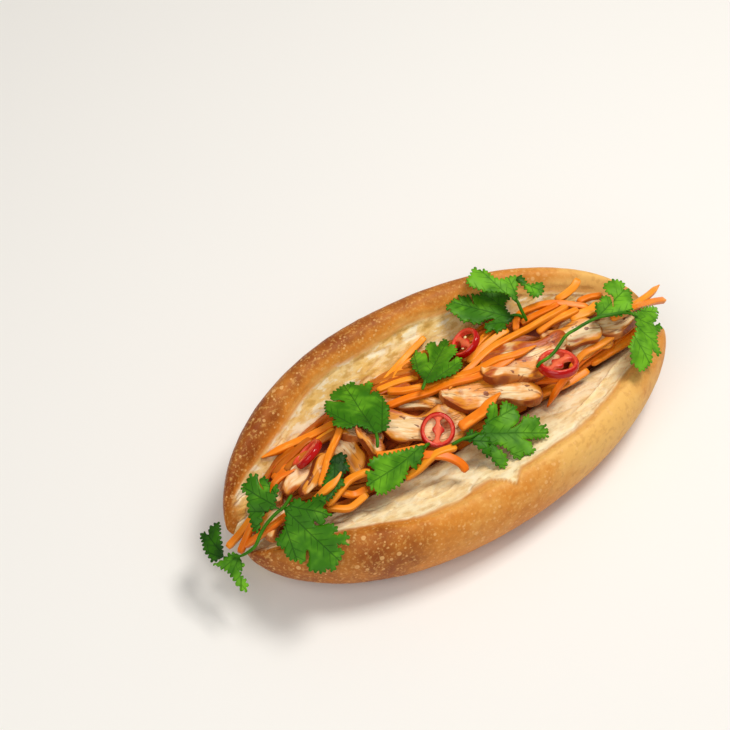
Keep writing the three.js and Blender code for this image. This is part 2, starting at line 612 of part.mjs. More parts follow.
// A stalk runs in under its leaf to the middle, and starts on an earlier stalk where it meets one.
function stalkSolid(leaf, draped, top, joints) {
  const [middle, baseCorner] = [draped.lower[0], draped.lower[draped.lower.length - LEAF_SPOKES / 2]];
  const end = new THREE.Vector3().lerpVectors(baseCorner, middle, 0.5);
  const route = [...leaf.stalk, leaf.base, [end.x, end.y]];
  const plan = new THREE.CatmullRomCurve3(route.map(([x, y]) => new THREE.Vector3(x, y, 0)));
  const count = Math.max(3, Math.round(plan.getLength() / STALK_STEP));
  const spine = plan.getSpacedPoints(count);
  const supports = spine.map(p => top.at(p.x, p.y, STALK_SPAN) + STALK_RADIUS + LEAF_GAP);
  const flat = (a, b) => Math.hypot(a.x - b.x, a.y - b.y);
  const pins = spine.map(p => (flat(p, baseCorner) < STALK_SEAT ? baseCorner.z + LEAF_THICK : undefined));
  pins[count] = end.z + LEAF_THICK;
  const joint = joints.toSorted((a, b) => flat(a, spine[0]) - flat(b, spine[0]))[0];
  if (joint && flat(joint, spine[0]) < JOINT_REACH) pins[0] = joint.z;
  restOn(supports, 1, pins).forEach((z, i) => spine[i].setZ(z));
  joints.push(...spine);
  const curve = new THREE.CatmullRomCurve3(spine);
  const rings = spine.map((p, i) => {
    const forward = curve.getTangent(i / count);
    const side = new THREE.Vector3(-forward.y, forward.x, 0).normalize();
    const up = new THREE.Vector3().crossVectors(forward, side);
    return Array.from({ length: STALK_SIDES }, (_, j) => {
      const phi = 2 * Math.PI * j / STALK_SIDES;
      return p.clone()
        .addScaledVector(side, STALK_RADIUS * Math.cos(phi))
        .addScaledVector(up, STALK_RADIUS * Math.sin(phi));
    });
  });
  return loft(rings, spine[0], spine[count]);
}

function sprigSolid(leaves, top) {
  const joints = [];
  const bodies = leaves.flatMap(leaf => {
    const draped = drapedLeaf(leaf, top);
    return [solid(draped.geometry), solid(stalkSolid(leaf, draped, top, joints))];
  });
  return joined(bodies);
}

// ---- putting the filling together ----------------------------------------------------------
// The largest of the separate bodies in a solid: loose scraps are dropped.
function largest(manifold) {
  const mesh = manifold.getMesh();
  const { vertProperties: place, triVerts: corners } = mesh;
  const body = Array.from({ length: place.length / 3 }, (_, i) => i);
  const find = i => {
    while (body[i] !== i) i = body[i] = body[body[i]];
    return i;
  };
  for (let i = 0; i < corners.length; i += 3) {
    body[find(corners[i])] = find(corners[i + 1]);
    body[find(corners[i + 1])] = find(corners[i + 2]);
  }
  const volumes = new Map();
  const vertex = i => new THREE.Vector3(place[3 * i], place[3 * i + 1], place[3 * i + 2]);
  for (let i = 0; i < corners.length; i += 3) {
    const [a, b, c] = [0, 1, 2].map(k => vertex(corners[i + k]));
    const id = find(corners[i]);
    volumes.set(id, (volumes.get(id) ?? 0) + a.dot(b.cross(c)) / 6);
  }
  const keep = [...volumes].reduce((best, entry) => (entry[1] > best[1] ? entry : best))[0];
  const kept = [];
  for (let i = 0; i < corners.length; i += 3) {
    if (find(corners[i]) === keep) kept.push(corners[i], corners[i + 1], corners[i + 2]);
  }
  const geometry = geometryOf(manifold);
  geometry.setIndex(kept);
  return solid(geometry);
}

const joined = bodies => bodies.reduce((all, body) => all.add(body));

relief.stamp(frontHalf, CLEARANCE);
relief.stamp(backHalf, CLEARANCE);
relief.stamp(geometryOf(core), -CHICKEN_SINK);

const rings = CHILI.map(chiliRing);
const ringSpace = joined(CHILI.map(ringRoom));

const slices = [];
let chickenSpace = ringSpace;
for (const item of CHICKEN) {
  const grown = solid(chickenSlice(item, CLEARANCE));
  const slice = largest(solid(chickenSlice(item, 0)).subtract(chickenSpace).subtract(crumbSpace));
  relief.stamp(geometryOf(slice), CLEARANCE);
  chickenSpace = chickenSpace.add(grown);
  slices.push(slice);
}

const firm = [frontHalf, backHalf, ...slices.map(geometryOf)];
const firmTop = new Relief();
firm.forEach(geometry => firmTop.stamp(geometry, 0));
const softTop = new Relief();
softTop.stamp(geometryOf(core), 0);
let heap = core.subtract(chickenSpace);
for (const item of STRIPS) {
  const strip = stripSolid(item, firmTop, softTop);
  softTop.stamp(strip, 0);
  heap = heap.add(solid(strip).subtract(chickenSpace).subtract(crumbSpace));
}
heap = largest(heap);

const allTop = new Relief();
[...firm, ...rings.map(geometryOf), geometryOf(heap)].forEach(geometry => allTop.stamp(geometry, 0));
const sprigs = [];
for (const item of SPRIGS) {
  const piece = sprigSolid(item, allTop);
  sprigs.push(largest(piece));
  allTop.stamp(geometryOf(piece), 0);
}

// ---- the sandwich --------------------------------------------------------------------------
const group = new THREE.Group();
function add(name, geometry, color, roughness) {
  const mesh = new THREE.Mesh(geometry, new THREE.MeshStandardMaterial({ color, roughness, metalness: 0 }));
  mesh.name = name;
  group.add(mesh);
}

add('bread', geometryOf(bread), '#d79a4e', 0.75);
add('carrot_heap', geometryOf(heap), '#f08a24', 0.5);
slices.forEach((slice, i) => add(`chicken_${i + 1}`, geometryOf(slice), '#f0d2a8', 0.55));
rings.forEach((ring, i) => add(`chili_${i + 1}`, geometryOf(ring), '#cc2a22', 0.3));
sprigs.forEach((piece, i) => add(`cilantro_${i + 1}`, geometryOf(piece), '#4c9a2a', 0.55));

export default group;
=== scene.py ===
"""Banh mi sandwich: a split crusty roll with carrot strips, grilled chicken, chili rings and cilantro.

The layout is in millimetres, +X along the roll, front half towards -Y, and goes into Blender in metres.
"""

import math

import bpy
import numpy as np
from mathutils import Matrix, Vector
from mathutils.bvhtree import BVHTree
from mathutils.geometry import delaunay_2d_cdt


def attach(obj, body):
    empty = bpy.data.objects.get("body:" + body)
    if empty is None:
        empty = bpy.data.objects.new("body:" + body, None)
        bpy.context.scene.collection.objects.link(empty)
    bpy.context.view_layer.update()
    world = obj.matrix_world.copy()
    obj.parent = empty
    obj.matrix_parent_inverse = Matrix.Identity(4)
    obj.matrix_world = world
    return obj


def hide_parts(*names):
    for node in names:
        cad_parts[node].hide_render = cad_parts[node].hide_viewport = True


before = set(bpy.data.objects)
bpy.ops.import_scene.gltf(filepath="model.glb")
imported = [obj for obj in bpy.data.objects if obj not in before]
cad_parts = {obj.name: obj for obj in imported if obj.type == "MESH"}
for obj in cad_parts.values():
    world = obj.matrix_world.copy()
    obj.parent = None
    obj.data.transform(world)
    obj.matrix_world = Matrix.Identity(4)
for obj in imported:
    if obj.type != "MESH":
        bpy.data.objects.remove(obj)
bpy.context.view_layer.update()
MM = 0.001

# ---- layout, the same as the solids' ----
ROLL_CENTRE = -8.0
BASE_TRIM = 0.8
FRONT_BELLY = [(-57, 29), (-57.5, 18), (-53, 7.5), (-44, 1.5), (-33, 0), (-12, 0)]
FRONT_HINGE = [(-12, 0), (10, 0), (14, 4), (4, 10)]
BACK_BELLY = [(60, 50), (62.5, 38), (61, 22), (54, 9), (42, 2), (30, 0)]
BACK_HINGE = [(30, 0), (-4, 0), (-8, 4), (0, 10)]
# A half is its outline (y, z) at the middle and near the ends, the crust from the rim round to the
# base and the crumb from there back to the rim. tip: the point that its sections shrink to at the
# ends. reach: the x of both ends. brownness: how brown, and the steps (by how much, and between which x)
# by which that changes along the roll. pale: how much paler the rim is. seed: that of its noise.
FRONT_HALF = dict(
    tip=(-7, 23), reach=(-118.5, 118), seed=11, pale=0.15,
    crust=[(-44, 40), (-48, 41), (-53.5, 37)] + FRONT_BELLY,
    crust_end=[(-29, 38), (-40, 41.5), (-51, 38)] + FRONT_BELLY,
    crumb=FRONT_HINGE + [(-4, 15), (-16, 27), (-29, 34), (-44, 40)],
    crumb_end=FRONT_HINGE + [(-4, 16), (-10, 24), (-18, 32), (-29, 38)],
    bake=(0.42, [(0.5, 10, -110), (-0.26, 0, 50), (0.3, 55, 110)]))
BACK_HALF = dict(
    tip=(9, 24), reach=(-120, 118.5), seed=60, pale=0.55,
    crust=[(43, 49.5), (45, 53.5), (50, 57.5), (55.5, 56.5)] + BACK_BELLY,
    crust_end=[(32, 42), (40, 51), (47.5, 56.5), (54.5, 56)] + BACK_BELLY,
    crumb=BACK_HINGE + [(9, 17), (22, 30), (34, 41), (43, 49.5)],
    crumb_end=BACK_HINGE + [(7, 16), (16, 26), (24, 34), (32, 42)],
    bake=(0.9, [(0.3, -30, -110), (-0.76, 0, 112)]))
CORE = dict(
    tip=(2, 24), reach=(-112, 110),
    top=[(-14, 26), (-10, 33), (-1, 39.5), (10, 43.5), (20, 45), (28, 44), (33.5, 40)],
    foot=[(28, 24), (0, 8), (-12, 20)])

# Slices: middle (x, y), (length, width, thickness), turn in plan, waviness phase, how brown from 0 to
# 1, and the height of the underside where a slice is tucked in among others.
CHICKEN = [
    ((-102, -4), (21, 9, 6), 40, 1, 0.3),
    ((-95, 3), (10, 6, 5), 20, 2, 0.3),
    ((-82, 4), (27, 8, 6), 14, 3, 0.3),
    ((-79, -1), (24, 5.5, 6), 26, 4, 0.6),
    ((-59, 2), (21, 12, 7), -68, 5, 0.2),
    ((-50, 7), (22, 9, 6), -36, 0.5, 0.6),
    ((-50, -1), (15, 8, 6), -58, 1.5, 0.7),
    ((-20, 9), (34, 8, 6), -36, 2.5, 0.9),
    ((-22.5, -3.5), (43, 17, 7), -20, 3.5, 0.2),
    ((12.5, -7.5), (49, 16, 7), -29, 4.5, 0.2),
    ((36, -1.5), (48, 17, 8), -3, 5.5, 1),
    ((63.5, -1), (31, 12, 7), -25, 0, 0.2, 43.5),
    ((82, -0.5), (43, 13, 7), -17, 1.2, 0.7, 39.5),
    ((71.5, -7), (24, 9, 5), -14, 2.2, 0.4, 37.5),
]

# Rings: middle (x, y, z), (azimuth, elevation) that the cut face looks to, spin, size, height if thin.
CHILI = [
    ((-19.8, -11.3, 47), (-123, 67), 37, 1),
    ((45.3, -14.3, 53.2), (57, 73), 20, 1.2),
    ((17, 20, 51.5), (142, 47), 70, 1),
    ((-76, 10, 46), (117, 35), 0, 1.08, 2.8),
]

# Strips: plan points, with a height where one doesn't just rest on what lies under it; then the
# width factor, and the pointed end: -1 the first, 1 the last.
STRIPS = [
    ([(83, -6, 52), (90.5, -6, 51), (99.5, -3, 48), (112.5, 1, 43), (124.5, 6.5, 37)], 1, 1),
    ([(83, -5, 52), (90.5, -6, 51), (103, -4, 46), (112, -2, 41), (122.5, -0.5, 34)], 1, 0),
    ([(84.5, 22, 52), (80.5, 20, 51), (75.5, 19.5, 49), (70, 19.5, 48)], 1.15, 0),
    ([(77.5, 12.5, 49), (83.5, 12, 49), (90, 9.5, 49)], 1, 0),
    ([(67.5, 5.5, 51), (73, 4.5, 51), (80, 4, 51), (84, 5.5, 51)], 1.5, 0),
    ([(43.5, 15.5, 47), (48.5, 21, 49), (54, 20.5, 51), (61.5, 18.5, 52), (68.5, 14.5, 52), (74, 10.5, 51),
      (79, 7, 50)], 1, 0),
    ([(47.5, 16.5, 49), (56, 15.5, 51), (66.5, 14, 52)], 1, 0),
    ([(14, 12.5, 47), (22.5, 15, 48), (32, 16.5, 49), (39.5, 17, 49)], 1, 0),
    ([(13, 15.5, 46), (20.5, 18, 47), (28.5, 20.5, 47), (36, 22.5, 47)], 1, 0),
    ([(50, 7.5, 50), (58.5, 8, 52), (65.5, 7, 53), (72.5, 6.5, 53)], 1, 0),
    ([(-4.5, 2, 48), (4.5, 5.5, 50), (14, 8, 51), (25.5, 10.5, 52), (38, 10.5, 52.5), (46.5, 10, 53),
      (54, 10, 54), (63.5, 10, 54), (69, 10.5, 54)], 1.05, -1),
    ([(-28, 17.5, 50), (-22.5, 14, 50), (-15.5, 11.5, 50), (-5, 8, 50), (4, 5, 51), (13.5, 2, 52),
      (22.5, 1, 52.5), (32, -1, 52.5), (42, -1.5, 51.5)], 1.1, 1),
    ([(108, -4.5, 30), (101.5, -7.5, 29), (93.5, -9.5, 28), (81.5, -10, 27.5), (70, -10.5, 27.5)], 1.4, 0),
    ([(109, -2, 32), (100, -4.5, 30), (88.5, -7, 29), (75.5, -9, 28.5), (64, -10, 28.5),
      (55.5, -10.5, 28.5)], 1, 0),
    ([(61, -11, 28.5), (47, -12, 28.5), (36, -12, 28.5), (26.5, -11, 28.5)], 1, 0),
    ([(65.5, -14, 33), (55, -14.5, 32.5), (46.5, -14, 32), (39.5, -14, 31.5), (34, -14, 31)], 1, 0),
    ([(108, -1, 38), (99.5, -4, 37), (91, -6.5, 36), (78.5, -9, 35), (69, -9.5, 34), (58.5, -10.5, 34)], 1, 0),
    ([(83.5, -9, 38), (73.5, -10, 38), (64.5, -9.5, 38), (56.5, -11.5, 38)], 1, 0),
    ([(27, -7, 38), (34, -9.5, 38), (41.5, -12.5, 38), (48, -14.5, 38), (55.5, -14.5, 38)], 1, 0),
    ([(50.5, -16.5, 43), (44, -18, 40), (40, -19, 35), (37.5, -19.5, 31)], 1, 1),
    ([(-12.5, -15, 43), (-9, -15, 45), (-4, -15, 47), (3, -15, 49), (9, -13, 50), (14.5, -12, 51)], 1.5, 1),
    ([(-32.5, 11.5, 48), (-24, 10, 49), (-14, 7.5, 49), (-5, 5, 49), (2.5, 2.5, 49.5), (13.5, -0.5, 50.5),
      (22, -1.5, 51), (30, -0.5, 51)], 1.1, 0),
    ([(-33, 21), (-19, 29), (-6, 34), (6, 37)], 1, 0),
    ([(-22, 22), (-13, 29), (4, 32)], 1, 0),
    ([(-30, 23), (-20, 22), (-9, 20)], 1, 0),
    ([(24, 25), (34, 29), (46, 30)], 1, 0),
    ([(-51.5, -9.5, 46), (-48, -10.5, 47), (-44.5, -11.5, 48), (-39, -13.5, 48), (-34, -15, 48),
      (-28.5, -16, 47)], 1.05, 0),
    ([(-34, -19, 48), (-30, -22, 48.5), (-25.5, -25, 48), (-22, -28.5, 46.5), (-20, -31.5, 44.5),
      (-19.5, -34, 42)], 1.15, 0),
    ([(-43.5, -20.5, 39), (-40, -21.5, 41), (-36, -22.5, 43), (-29.5, -22.5, 45), (-24, -23, 47),
      (-18.5, -24, 48)], 1, 0),
    ([(-82, -15.5, 37), (-77.5, -18.5, 38), (-73, -20.5, 39), (-67.5, -20, 40), (-63, -19.5, 41)], 1, 0),
    ([(-86.5, -11.5, 45), (-83, -13.5, 49), (-78.5, -13.5, 52), (-74.5, -12.5, 53.5), (-71, -10.5, 54)], 1.05, 1),
    ([(-81, -9.5, 46), (-78.5, -7, 48), (-75, -3.5, 50), (-70, 1.5, 50), (-64, 6.5, 49), (-57, 11.5, 48)], 1, 0),
    ([(-82, -16, 40), (-78.5, -16, 42), (-74, -15, 45), (-69.5, -13, 47), (-64.5, -12.5, 48), (-58, -14, 48)], 1, 0),
    ([(-73.5, -14, 40), (-70, -16, 40.5), (-66.5, -17, 41), (-62, -17.5, 42)], 1, 0),
    ([(-92, 24), (-78, 23), (-68, 21), (-55, 20)], 1, -1),
    ([(-93, 13), (-83, 14), (-71, 16), (-57, 17)], 1, 0),
    ([(-96, 7), (-88, 10), (-80, 14)], 1.2, 0),
    ([(-103, 1), (-95, 6), (-86, 5), (-76, 6)], 1, 1),
    ([(-93, 10, 33), (-105, 6), (-117, 2), (-125, 0, 24)], 1, 0),
    ([(-92, 5, 32), (-106, 1), (-114, -2), (-122, -6, 25)], 1, 0),
    ([(-92, -4, 28), (-102, -8), (-111, -8), (-119, -5, 27)], 1, 0),
]

# Sprigs. A leaf is its outline in plan from the base round, the height at the base, the slopes
# along x and y, and tone from -1, dark, to 1, pale; the darkest tones are painted shade on leaves
# that lie low or under others. A stalk is its middle line.
SPRIGS = [
    dict(leaves=[
      ([(-99.5, -8), (-96.5, -8), (-93, -7.5), (-91, -9.5), (-91, -11), (-89, -12), (-88.5, -13), (-86, -13),
       (-84, -15.5), (-83.5, -17.5), (-85.5, -19), (-84, -22.5), (-87, -22), (-87.5, -23.5), (-90, -23.5),
       (-91.5, -19.5), (-92, -22), (-90, -23.5), (-86, -25.5), (-85, -29.5), (-88, -29.5), (-85.5, -32), (-83, -32.5),
       (-83, -35), (-85, -35.5), (-84.5, -37.5), (-89, -34.5), (-89, -36.5), (-88, -38.5), (-90, -40), (-92, -41),
       (-94, -42), (-96, -43), (-97.5, -40.5), (-100, -41), (-101.5, -39), (-103, -38), (-104, -35), (-101, -31.5),
       (-100, -28), (-102, -30), (-103.5, -32), (-105, -32), (-106, -30), (-108, -28.5), (-109, -25), (-109, -23.5),
       (-107, -21.5), (-109, -22.5), (-109.5, -20), (-109.5, -17.5), (-107, -17), (-104, -15.5), (-101.5, -13),
       (-100, -10)], 44.5, (0.25, 0.21), -0.15),
      ([(-101, -8), (-102, -5.5), (-101, -3.5), (-99.5, -2), (-97.5, 0), (-97, 1.5), (-97.5, 2.5), (-100, 1.5),
       (-101.5, 0), (-100.5, 2), (-99, 4), (-99, 6), (-99, 8), (-100.5, 9), (-102, 8.5), (-102.5, 5.5), (-102.5, 2.5),
       (-103, 6), (-102, 9.5), (-101, 12), (-103, 11.5), (-104, 13), (-105.5, 12), (-107.5, 11), (-109, 12),
       (-109, 10.5), (-110.5, 10), (-109.5, 6.5), (-111, 3.5), (-112.5, 0.5), (-114, -3.5), (-115, -8), (-114, -9.5),
       (-112, -8), (-110, -6.5), (-108, -5), (-105.5, -5), (-102.5, -6.5)], 45.6, (0.32, 0.21), -0.25),
      ([(-123.5, -9), (-124, -10), (-124.5, -13.5), (-126, -14.5), (-126.5, -14), (-127.5, -16), (-127, -20),
       (-127.5, -21.5), (-129.5, -22.5), (-130.5, -20.5), (-131, -18), (-131, -15), (-131.5, -11), (-133, -8),
       (-134.5, -4.5), (-132, -5.5), (-128.5, -5.5), (-126.5, -5.5), (-124.5, -7)], 27.9, (0.26, 0.21), 0.4),
      # This leaf's tone of -0.9 is painted shade.
      ([(-129.5, -5), (-128, -1), (-127, 1.5), (-125.5, 5.5), (-123, 10), (-122.5, 12), (-123.5, 12.5), (-125, 12),
       (-127.5, 12), (-129.5, 9), (-130, 12), (-132, 11.5), (-133, 8), (-134.5, 3.5), (-134.5, 0), (-134.5, -3.5),
       (-132, -4.5)], 26.7, (0.23, -0.08), -0.9)],
         stalks=[[(-93.5, -5, 47), (-99, -7.5, 45.5), (-103.5, -7.5, 43.5), (-109.5, -9, 41.5), (-114, -11, 39),
       (-117, -12.5, 36), (-120, -12, 33), (-124, -10, 29), (-126.5, -7.5, 27.5)]]),
    dict(leaves=[
      ([(-47.5, -3.5), (-46.5, -2.5), (-43, -2.5), (-40.5, -2), (-40, 0), (-37.5, 1.5), (-37.5, 3.5), (-36, 4.5),
       (-34.5, 7.5), (-33, 8.5), (-33, 11), (-32, 14.5), (-31.5, 16), (-32, 18), (-31.5, 20.5), (-33, 21.5),
       (-35.5, 20.5), (-37, 18.5), (-34.5, 22), (-30.5, 27), (-31.5, 28.5), (-34, 27.5), (-35.5, 29), (-37.5, 29),
       (-37.5, 32.5), (-40, 32), (-43, 32.5), (-46.5, 31.5), (-50, 30.5), (-52, 28.5), (-52, 26.5), (-49, 24.5),
       (-48, 21.5), (-50, 24), (-52, 25.5), (-54.5, 27.5), (-58, 23), (-58.5, 19.5), (-57.5, 15.5), (-60, 14),
       (-59.5, 11), (-58, 9), (-55, 6.5), (-52.5, 6.5), (-50.5, 4.5), (-49, 2), (-48, -1)], 54.9, (-0.13, -0.17),
       -0.05)],
         stalks=[[(-51, -9, 55.3), (-49, -6, 55.2), (-47.2, -2, 54.9)]]),
    dict(leaves=[
      ([(-13, 9.5), (-12, 12.5), (-11, 16), (-10.5, 20), (-10.5, 23), (-8.5, 25), (-8, 28), (-4.5, 30.5), (-2, 33),
       (-1.5, 30.5), (-0.5, 29), (0, 27), (-3.5, 20.5), (0, 25), (1.5, 27.5), (3, 31.5), (6, 33.5), (7.5, 33.5),
       (8.5, 32), (7, 28), (10, 30.5), (11.5, 30.5), (13.5, 31.5), (13.5, 29), (12.5, 27), (10.5, 24.5), (13, 24.5),
       (12.5, 21), (10.5, 18), (8, 17), (3, 14), (6, 14.5), (9, 15), (10, 13.5), (8.5, 12), (7.5, 9.5), (5.5, 7.5),
       (3, 6.5), (0, 5.5), (-2.5, 6), (-6, 7), (-9.5, 7.5), (-12, 8)], 54.4, (-0.03, -0.4), 0.15)],
         stalks=[[(-16, 7, 54.5), (-12, 10, 54.4)]]),
    dict(leaves=[
      ([(-30.5, -16.5), (-32.5, -18.5), (-36, -21.5), (-37.5, -21.5), (-39.5, -22), (-40.5, -20.5), (-39.5, -19.5),
       (-42, -20.5), (-45, -22.5), (-47.5, -23.5), (-49, -24), (-51.5, -24), (-53.5, -24.5), (-54.5, -24),
       (-57, -24.5), (-58, -24), (-60.5, -23), (-60, -21.5), (-61.5, -20.5), (-62, -19), (-62, -17.5), (-60.5, -16.5),
       (-61, -15), (-59, -14.5), (-56, -15.5), (-57, -13.5), (-57.5, -12), (-55.5, -11), (-52, -11), (-45, -12.5),
       (-38, -14.5)], 45.9, (-0.06, 0.6), 0.25)],
         stalks=[[(-27, -15, 46.5), (-32, -17.5, 45.3)]]),
    dict(leaves=[
      ([(-5, -22.5), (-2, -21.5), (0.5, -20), (3.5, -17.5), (5, -16), (8.5, -15.5), (9, -16.5), (7.5, -20.5),
       (10.5, -17.5), (12, -16.5), (14, -15.5), (16, -17), (16, -18.5), (18, -18.5), (18, -20), (17, -21.5),
       (17.5, -23), (16.5, -24.5), (15, -26), (9.5, -27), (12.5, -27), (16, -26.5), (18, -25.5), (21, -25.5),
       (21, -27), (23.5, -27.5), (24.5, -29.5), (23, -31.5), (26, -32.5), (24.5, -33.5), (26, -35), (24, -36),
       (24, -37), (21.5, -36.5), (17, -35), (12.5, -33.5), (14, -35), (15, -37), (14, -38), (14.5, -40),
       (12.5, -40.5), (10, -40.5), (9, -38.5), (8, -40), (5.5, -39.5), (4, -38), (4, -36.5), (3.5, -34.5), (2.5, -32),
       (-1, -29.5), (0, -33), (1, -35.5), (0, -38.5), (-1.5, -39.5), (-3, -40), (-4.5, -38.5), (-5.5, -36),
       (-5.5, -33.5), (-5, -30), (-4, -27.5), (-4, -25)], 45.6, (-0.02, 0.41), 0.25),
      ([(-13.5, -22), (-11, -21), (-8.5, -20), (-7, -19.5), (-7, -21), (-5.5, -22), (-5, -23.5), (-3, -23.5),
       (-2.5, -25.5), (-2, -27.5), (-2.5, -28.5), (-4.5, -29), (-4.5, -31.5), (-6.5, -33), (-7.5, -32), (-8, -29.5),
       (-9, -27.5), (-10, -24.5), (-12, -23)], 46.8, (-0.02, 0.41), -0.35)],
         stalks=[[(-20, -23, 48.5), (-13.5, -22.5, 47.8), (-10, -23, 47), (-5, -23, 46)]]),
    dict(leaves=[
      ([(46.5, 21), (46, 25.5), (46.5, 28.5), (48, 31), (52.5, 33), (50.5, 37), (45.5, 39.5), (41, 41), (40, 40),
       (38, 40), (36, 41.5), (33.5, 36), (34, 42), (32.5, 41.5), (30, 43.5), (29, 42.5), (29, 40.5), (27.5, 42.5),
       (26.5, 43), (23.5, 41.5), (22, 41.5), (20, 39.5), (21.5, 38.5), (21, 36), (22.5, 35), (22.5, 32.5), (23, 31),
       (24, 29.5), (26.5, 29.5), (26, 28), (28, 26.5), (30, 26), (33, 26.5), (38, 25), (35.5, 24.5), (31, 24),
       (30.5, 21.5), (28.5, 20), (31.5, 20), (34, 20), (33, 17.5), (36, 17.5), (38.5, 17.5), (40, 20), (43, 20)], 48,
       (-0.16, 0.13), -0.05)],
         stalks=[[(51, 18, 48.5), (45, 22.5, 48)]]),
    dict(leaves=[
      ([(48, 22.5), (47.5, 24.5), (47, 28.5), (45, 30.5), (41.5, 32.5), (38.5, 34), (36, 37), (34, 39.5), (33.5, 41),
       (33.5, 43), (35, 44), (37, 45), (39.5, 47), (41.5, 48.5), (42.5, 47), (43.5, 45.5), (45.5, 45), (45.5, 43),
       (46, 41.5), (46.5, 39.5), (48, 37.5), (50, 36.5), (54, 36.5), (57, 35.5), (58.5, 33.5), (54.5, 31), (52, 28.5),
       (50, 25)], 57.9, (-0.15, 0.13), 0.6),
      ([(55.5, 33.5), (57, 34.5), (59, 34), (59, 31), (59, 28.5), (61, 27), (63.5, 26.5), (65, 25), (63.5, 22.5),
       (62, 21), (60, 20), (57.5, 20.5), (56.5, 22.5), (56.5, 26), (56.5, 29), (56, 31.5)], 57.4,
       (0.08, -0.05), 0.1)],
         stalks=[[(49, 15, 51.5), (48.5, 19, 55), (48.8, 24, 57.7)]]),
    dict(leaves=[
      ([(74.5, -5), (78.5, -6), (85, -9.5), (87.5, -9.5), (90.5, -9), (93, -8.5), (93.5, -6.5), (95, -5.5), (96, -4),
       (97, -2), (98.5, -0.5), (98.5, 1.5), (96, 2.5), (98, 4), (99, 6), (98.5, 7.5), (96, 10), (94, 10), (91.5, 10),
       (89.5, 9), (89, 7), (88.5, 4.5), (89.5, 2), (87, -1.5), (84.5, -4.5), (87, 0), (87.5, 2.5), (85.5, 4),
       (83.5, 3.5), (81.5, 1.5), (80.5, 2.5), (78.5, 1.5), (78, 0), (77, -1), (76, -3)], 57.5, (-0.08, 0), 0.4),
      ([(88.5, -9), (91.5, -9.5), (94.5, -9.5), (99.5, -8.5), (103, -8), (105.5, -8), (109, -8.5), (108.5, -10.5),
       (106.5, -11.5), (106.5, -13), (104.5, -14), (103, -15.5), (100.5, -15.5), (101, -17), (104.5, -17), (104, -19),
       (101.5, -20), (99, -21.5), (97, -24), (95.5, -27), (95, -29.5), (92.5, -30.5), (92, -29), (92, -27.5),
       (89.5, -29.5), (88, -31.5), (86, -32.5), (83.5, -33), (81, -33.5), (80, -32.5), (79.5, -31), (79.5, -29.5),
       (78.5, -28.5), (79.5, -26.5), (81, -24), (81, -22.5), (83, -21.5), (85.5, -19.5), (88.5, -18), (90, -16.5),
       (91.5, -14.5), (92.5, -12), (91.5, -11)], 53.4, (-0.27, 0.4), 0.45)],
         stalks=[[(35, -11.5, 55), (42, -10.5, 55), (46, -9.5, 55.5), (51, -7.5, 56.5), (57, -5, 57), (62, -5, 57.5),
       (67.5, -5, 58), (74, -5.5, 58), (80, -7.5, 57), (88, -9.5, 54), (94, -12, 52.5)]]),
    # The last sprig lies under the strips; its leaf's tone of -1 is painted shade.
    dict(leaves=[
      ([(-68, -0.5), (-65, -1), (-64, -3.5), (-66.5, -6), (-65.5, -7), (-66.5, -9.5), (-69, -10), (-71.5, -11.5),
       (-72, -14.5), (-76.5, -15.5), (-81.5, -18), (-85.5, -17.5), (-82, -12), (-77.5, -8), (-72.5, -4), (-70, -1)],
       52, (0, 0.1), -1.0)],
         stalks=[]),
]


# ---- noise ----
HASH_FACTORS = (374761393, 668265263, 1440662683, 974634777)
HASH_MIXER = 1274126177
LOW_32, LOW_16 = 0xFFFFFFFF, 0xFFFF


def lattice(*place):
    """A number from -1 to 1 for whole x, y and z and a seed."""
    n = sum(value * factor for value, factor in zip(place, HASH_FACTORS)) & LOW_32
    n = ((n ^ (n >> 13)) * HASH_MIXER) & LOW_32
    return ((n ^ (n >> 16)) & LOW_16) / (LOW_16 / 2) - 1


def smooth(t):
    return t * t * (3 - 2 * t)


def noise(points, size, seed):
    """Smooth noise from -1 to 1 with features of a size, at points (n, 3)."""
    q = points / size
    cell = np.floor(q).astype(np.int64)
    share = smooth(q - cell)
    total = 0
    for corner in np.ndindex(2, 2, 2):
        weight = np.prod(np.abs(np.subtract(1, corner) - share), axis=1)
        total = total + weight * lattice(*(cell + corner).T, seed)
    return total


def fbm(points, size, octaves, seed):
    return sum(noise(points, size / 2 ** k, seed + k) / 2 ** k for k in range(octaves)) / 1.5


def relief(points, feature, seed):
    """Noise of a feature given as (size, height)."""
    return feature[1] * noise(points, feature[0], seed)


def rough(points, feature, octaves, seed):
    return feature[1] * fbm(points, feature[0], octaves, seed)


def smoothstep(low, high, value):
    return smooth(np.clip((np.asarray(value, float) - low) / (high - low), 0, 1))


def bell(value, middle, width):
    return np.exp(-((value - middle) / width) ** 2)


# ---- curves ----
def lengths(vectors):
    return np.linalg.norm(vectors, axis=-1)


def unit(vectors):
    return vectors / np.maximum(1e-9, lengths(vectors))[:, None]


def length_of(points):
    return float(lengths(np.diff(points, axis=0)).sum())


def run_along(points):
    """The distance from the start of a line to each of its points."""
    return np.r_[0, np.cumsum(lengths(np.diff(points, axis=0)))]


def picked(points, run, wanted):
    """The points of a line at wanted values of its run."""
    return np.stack([np.interp(wanted, run, column) for column in points.T], axis=1)


def spaced(points, count):
    """count + 1 points evenly spaced along a dense line."""
    run = run_along(points)
    return picked(points, run, np.linspace(0, run[-1], count + 1))


def blend(t, a, b, low, high):
    return (high - t) / (high - low) * a + (t - low) / (high - low) * b


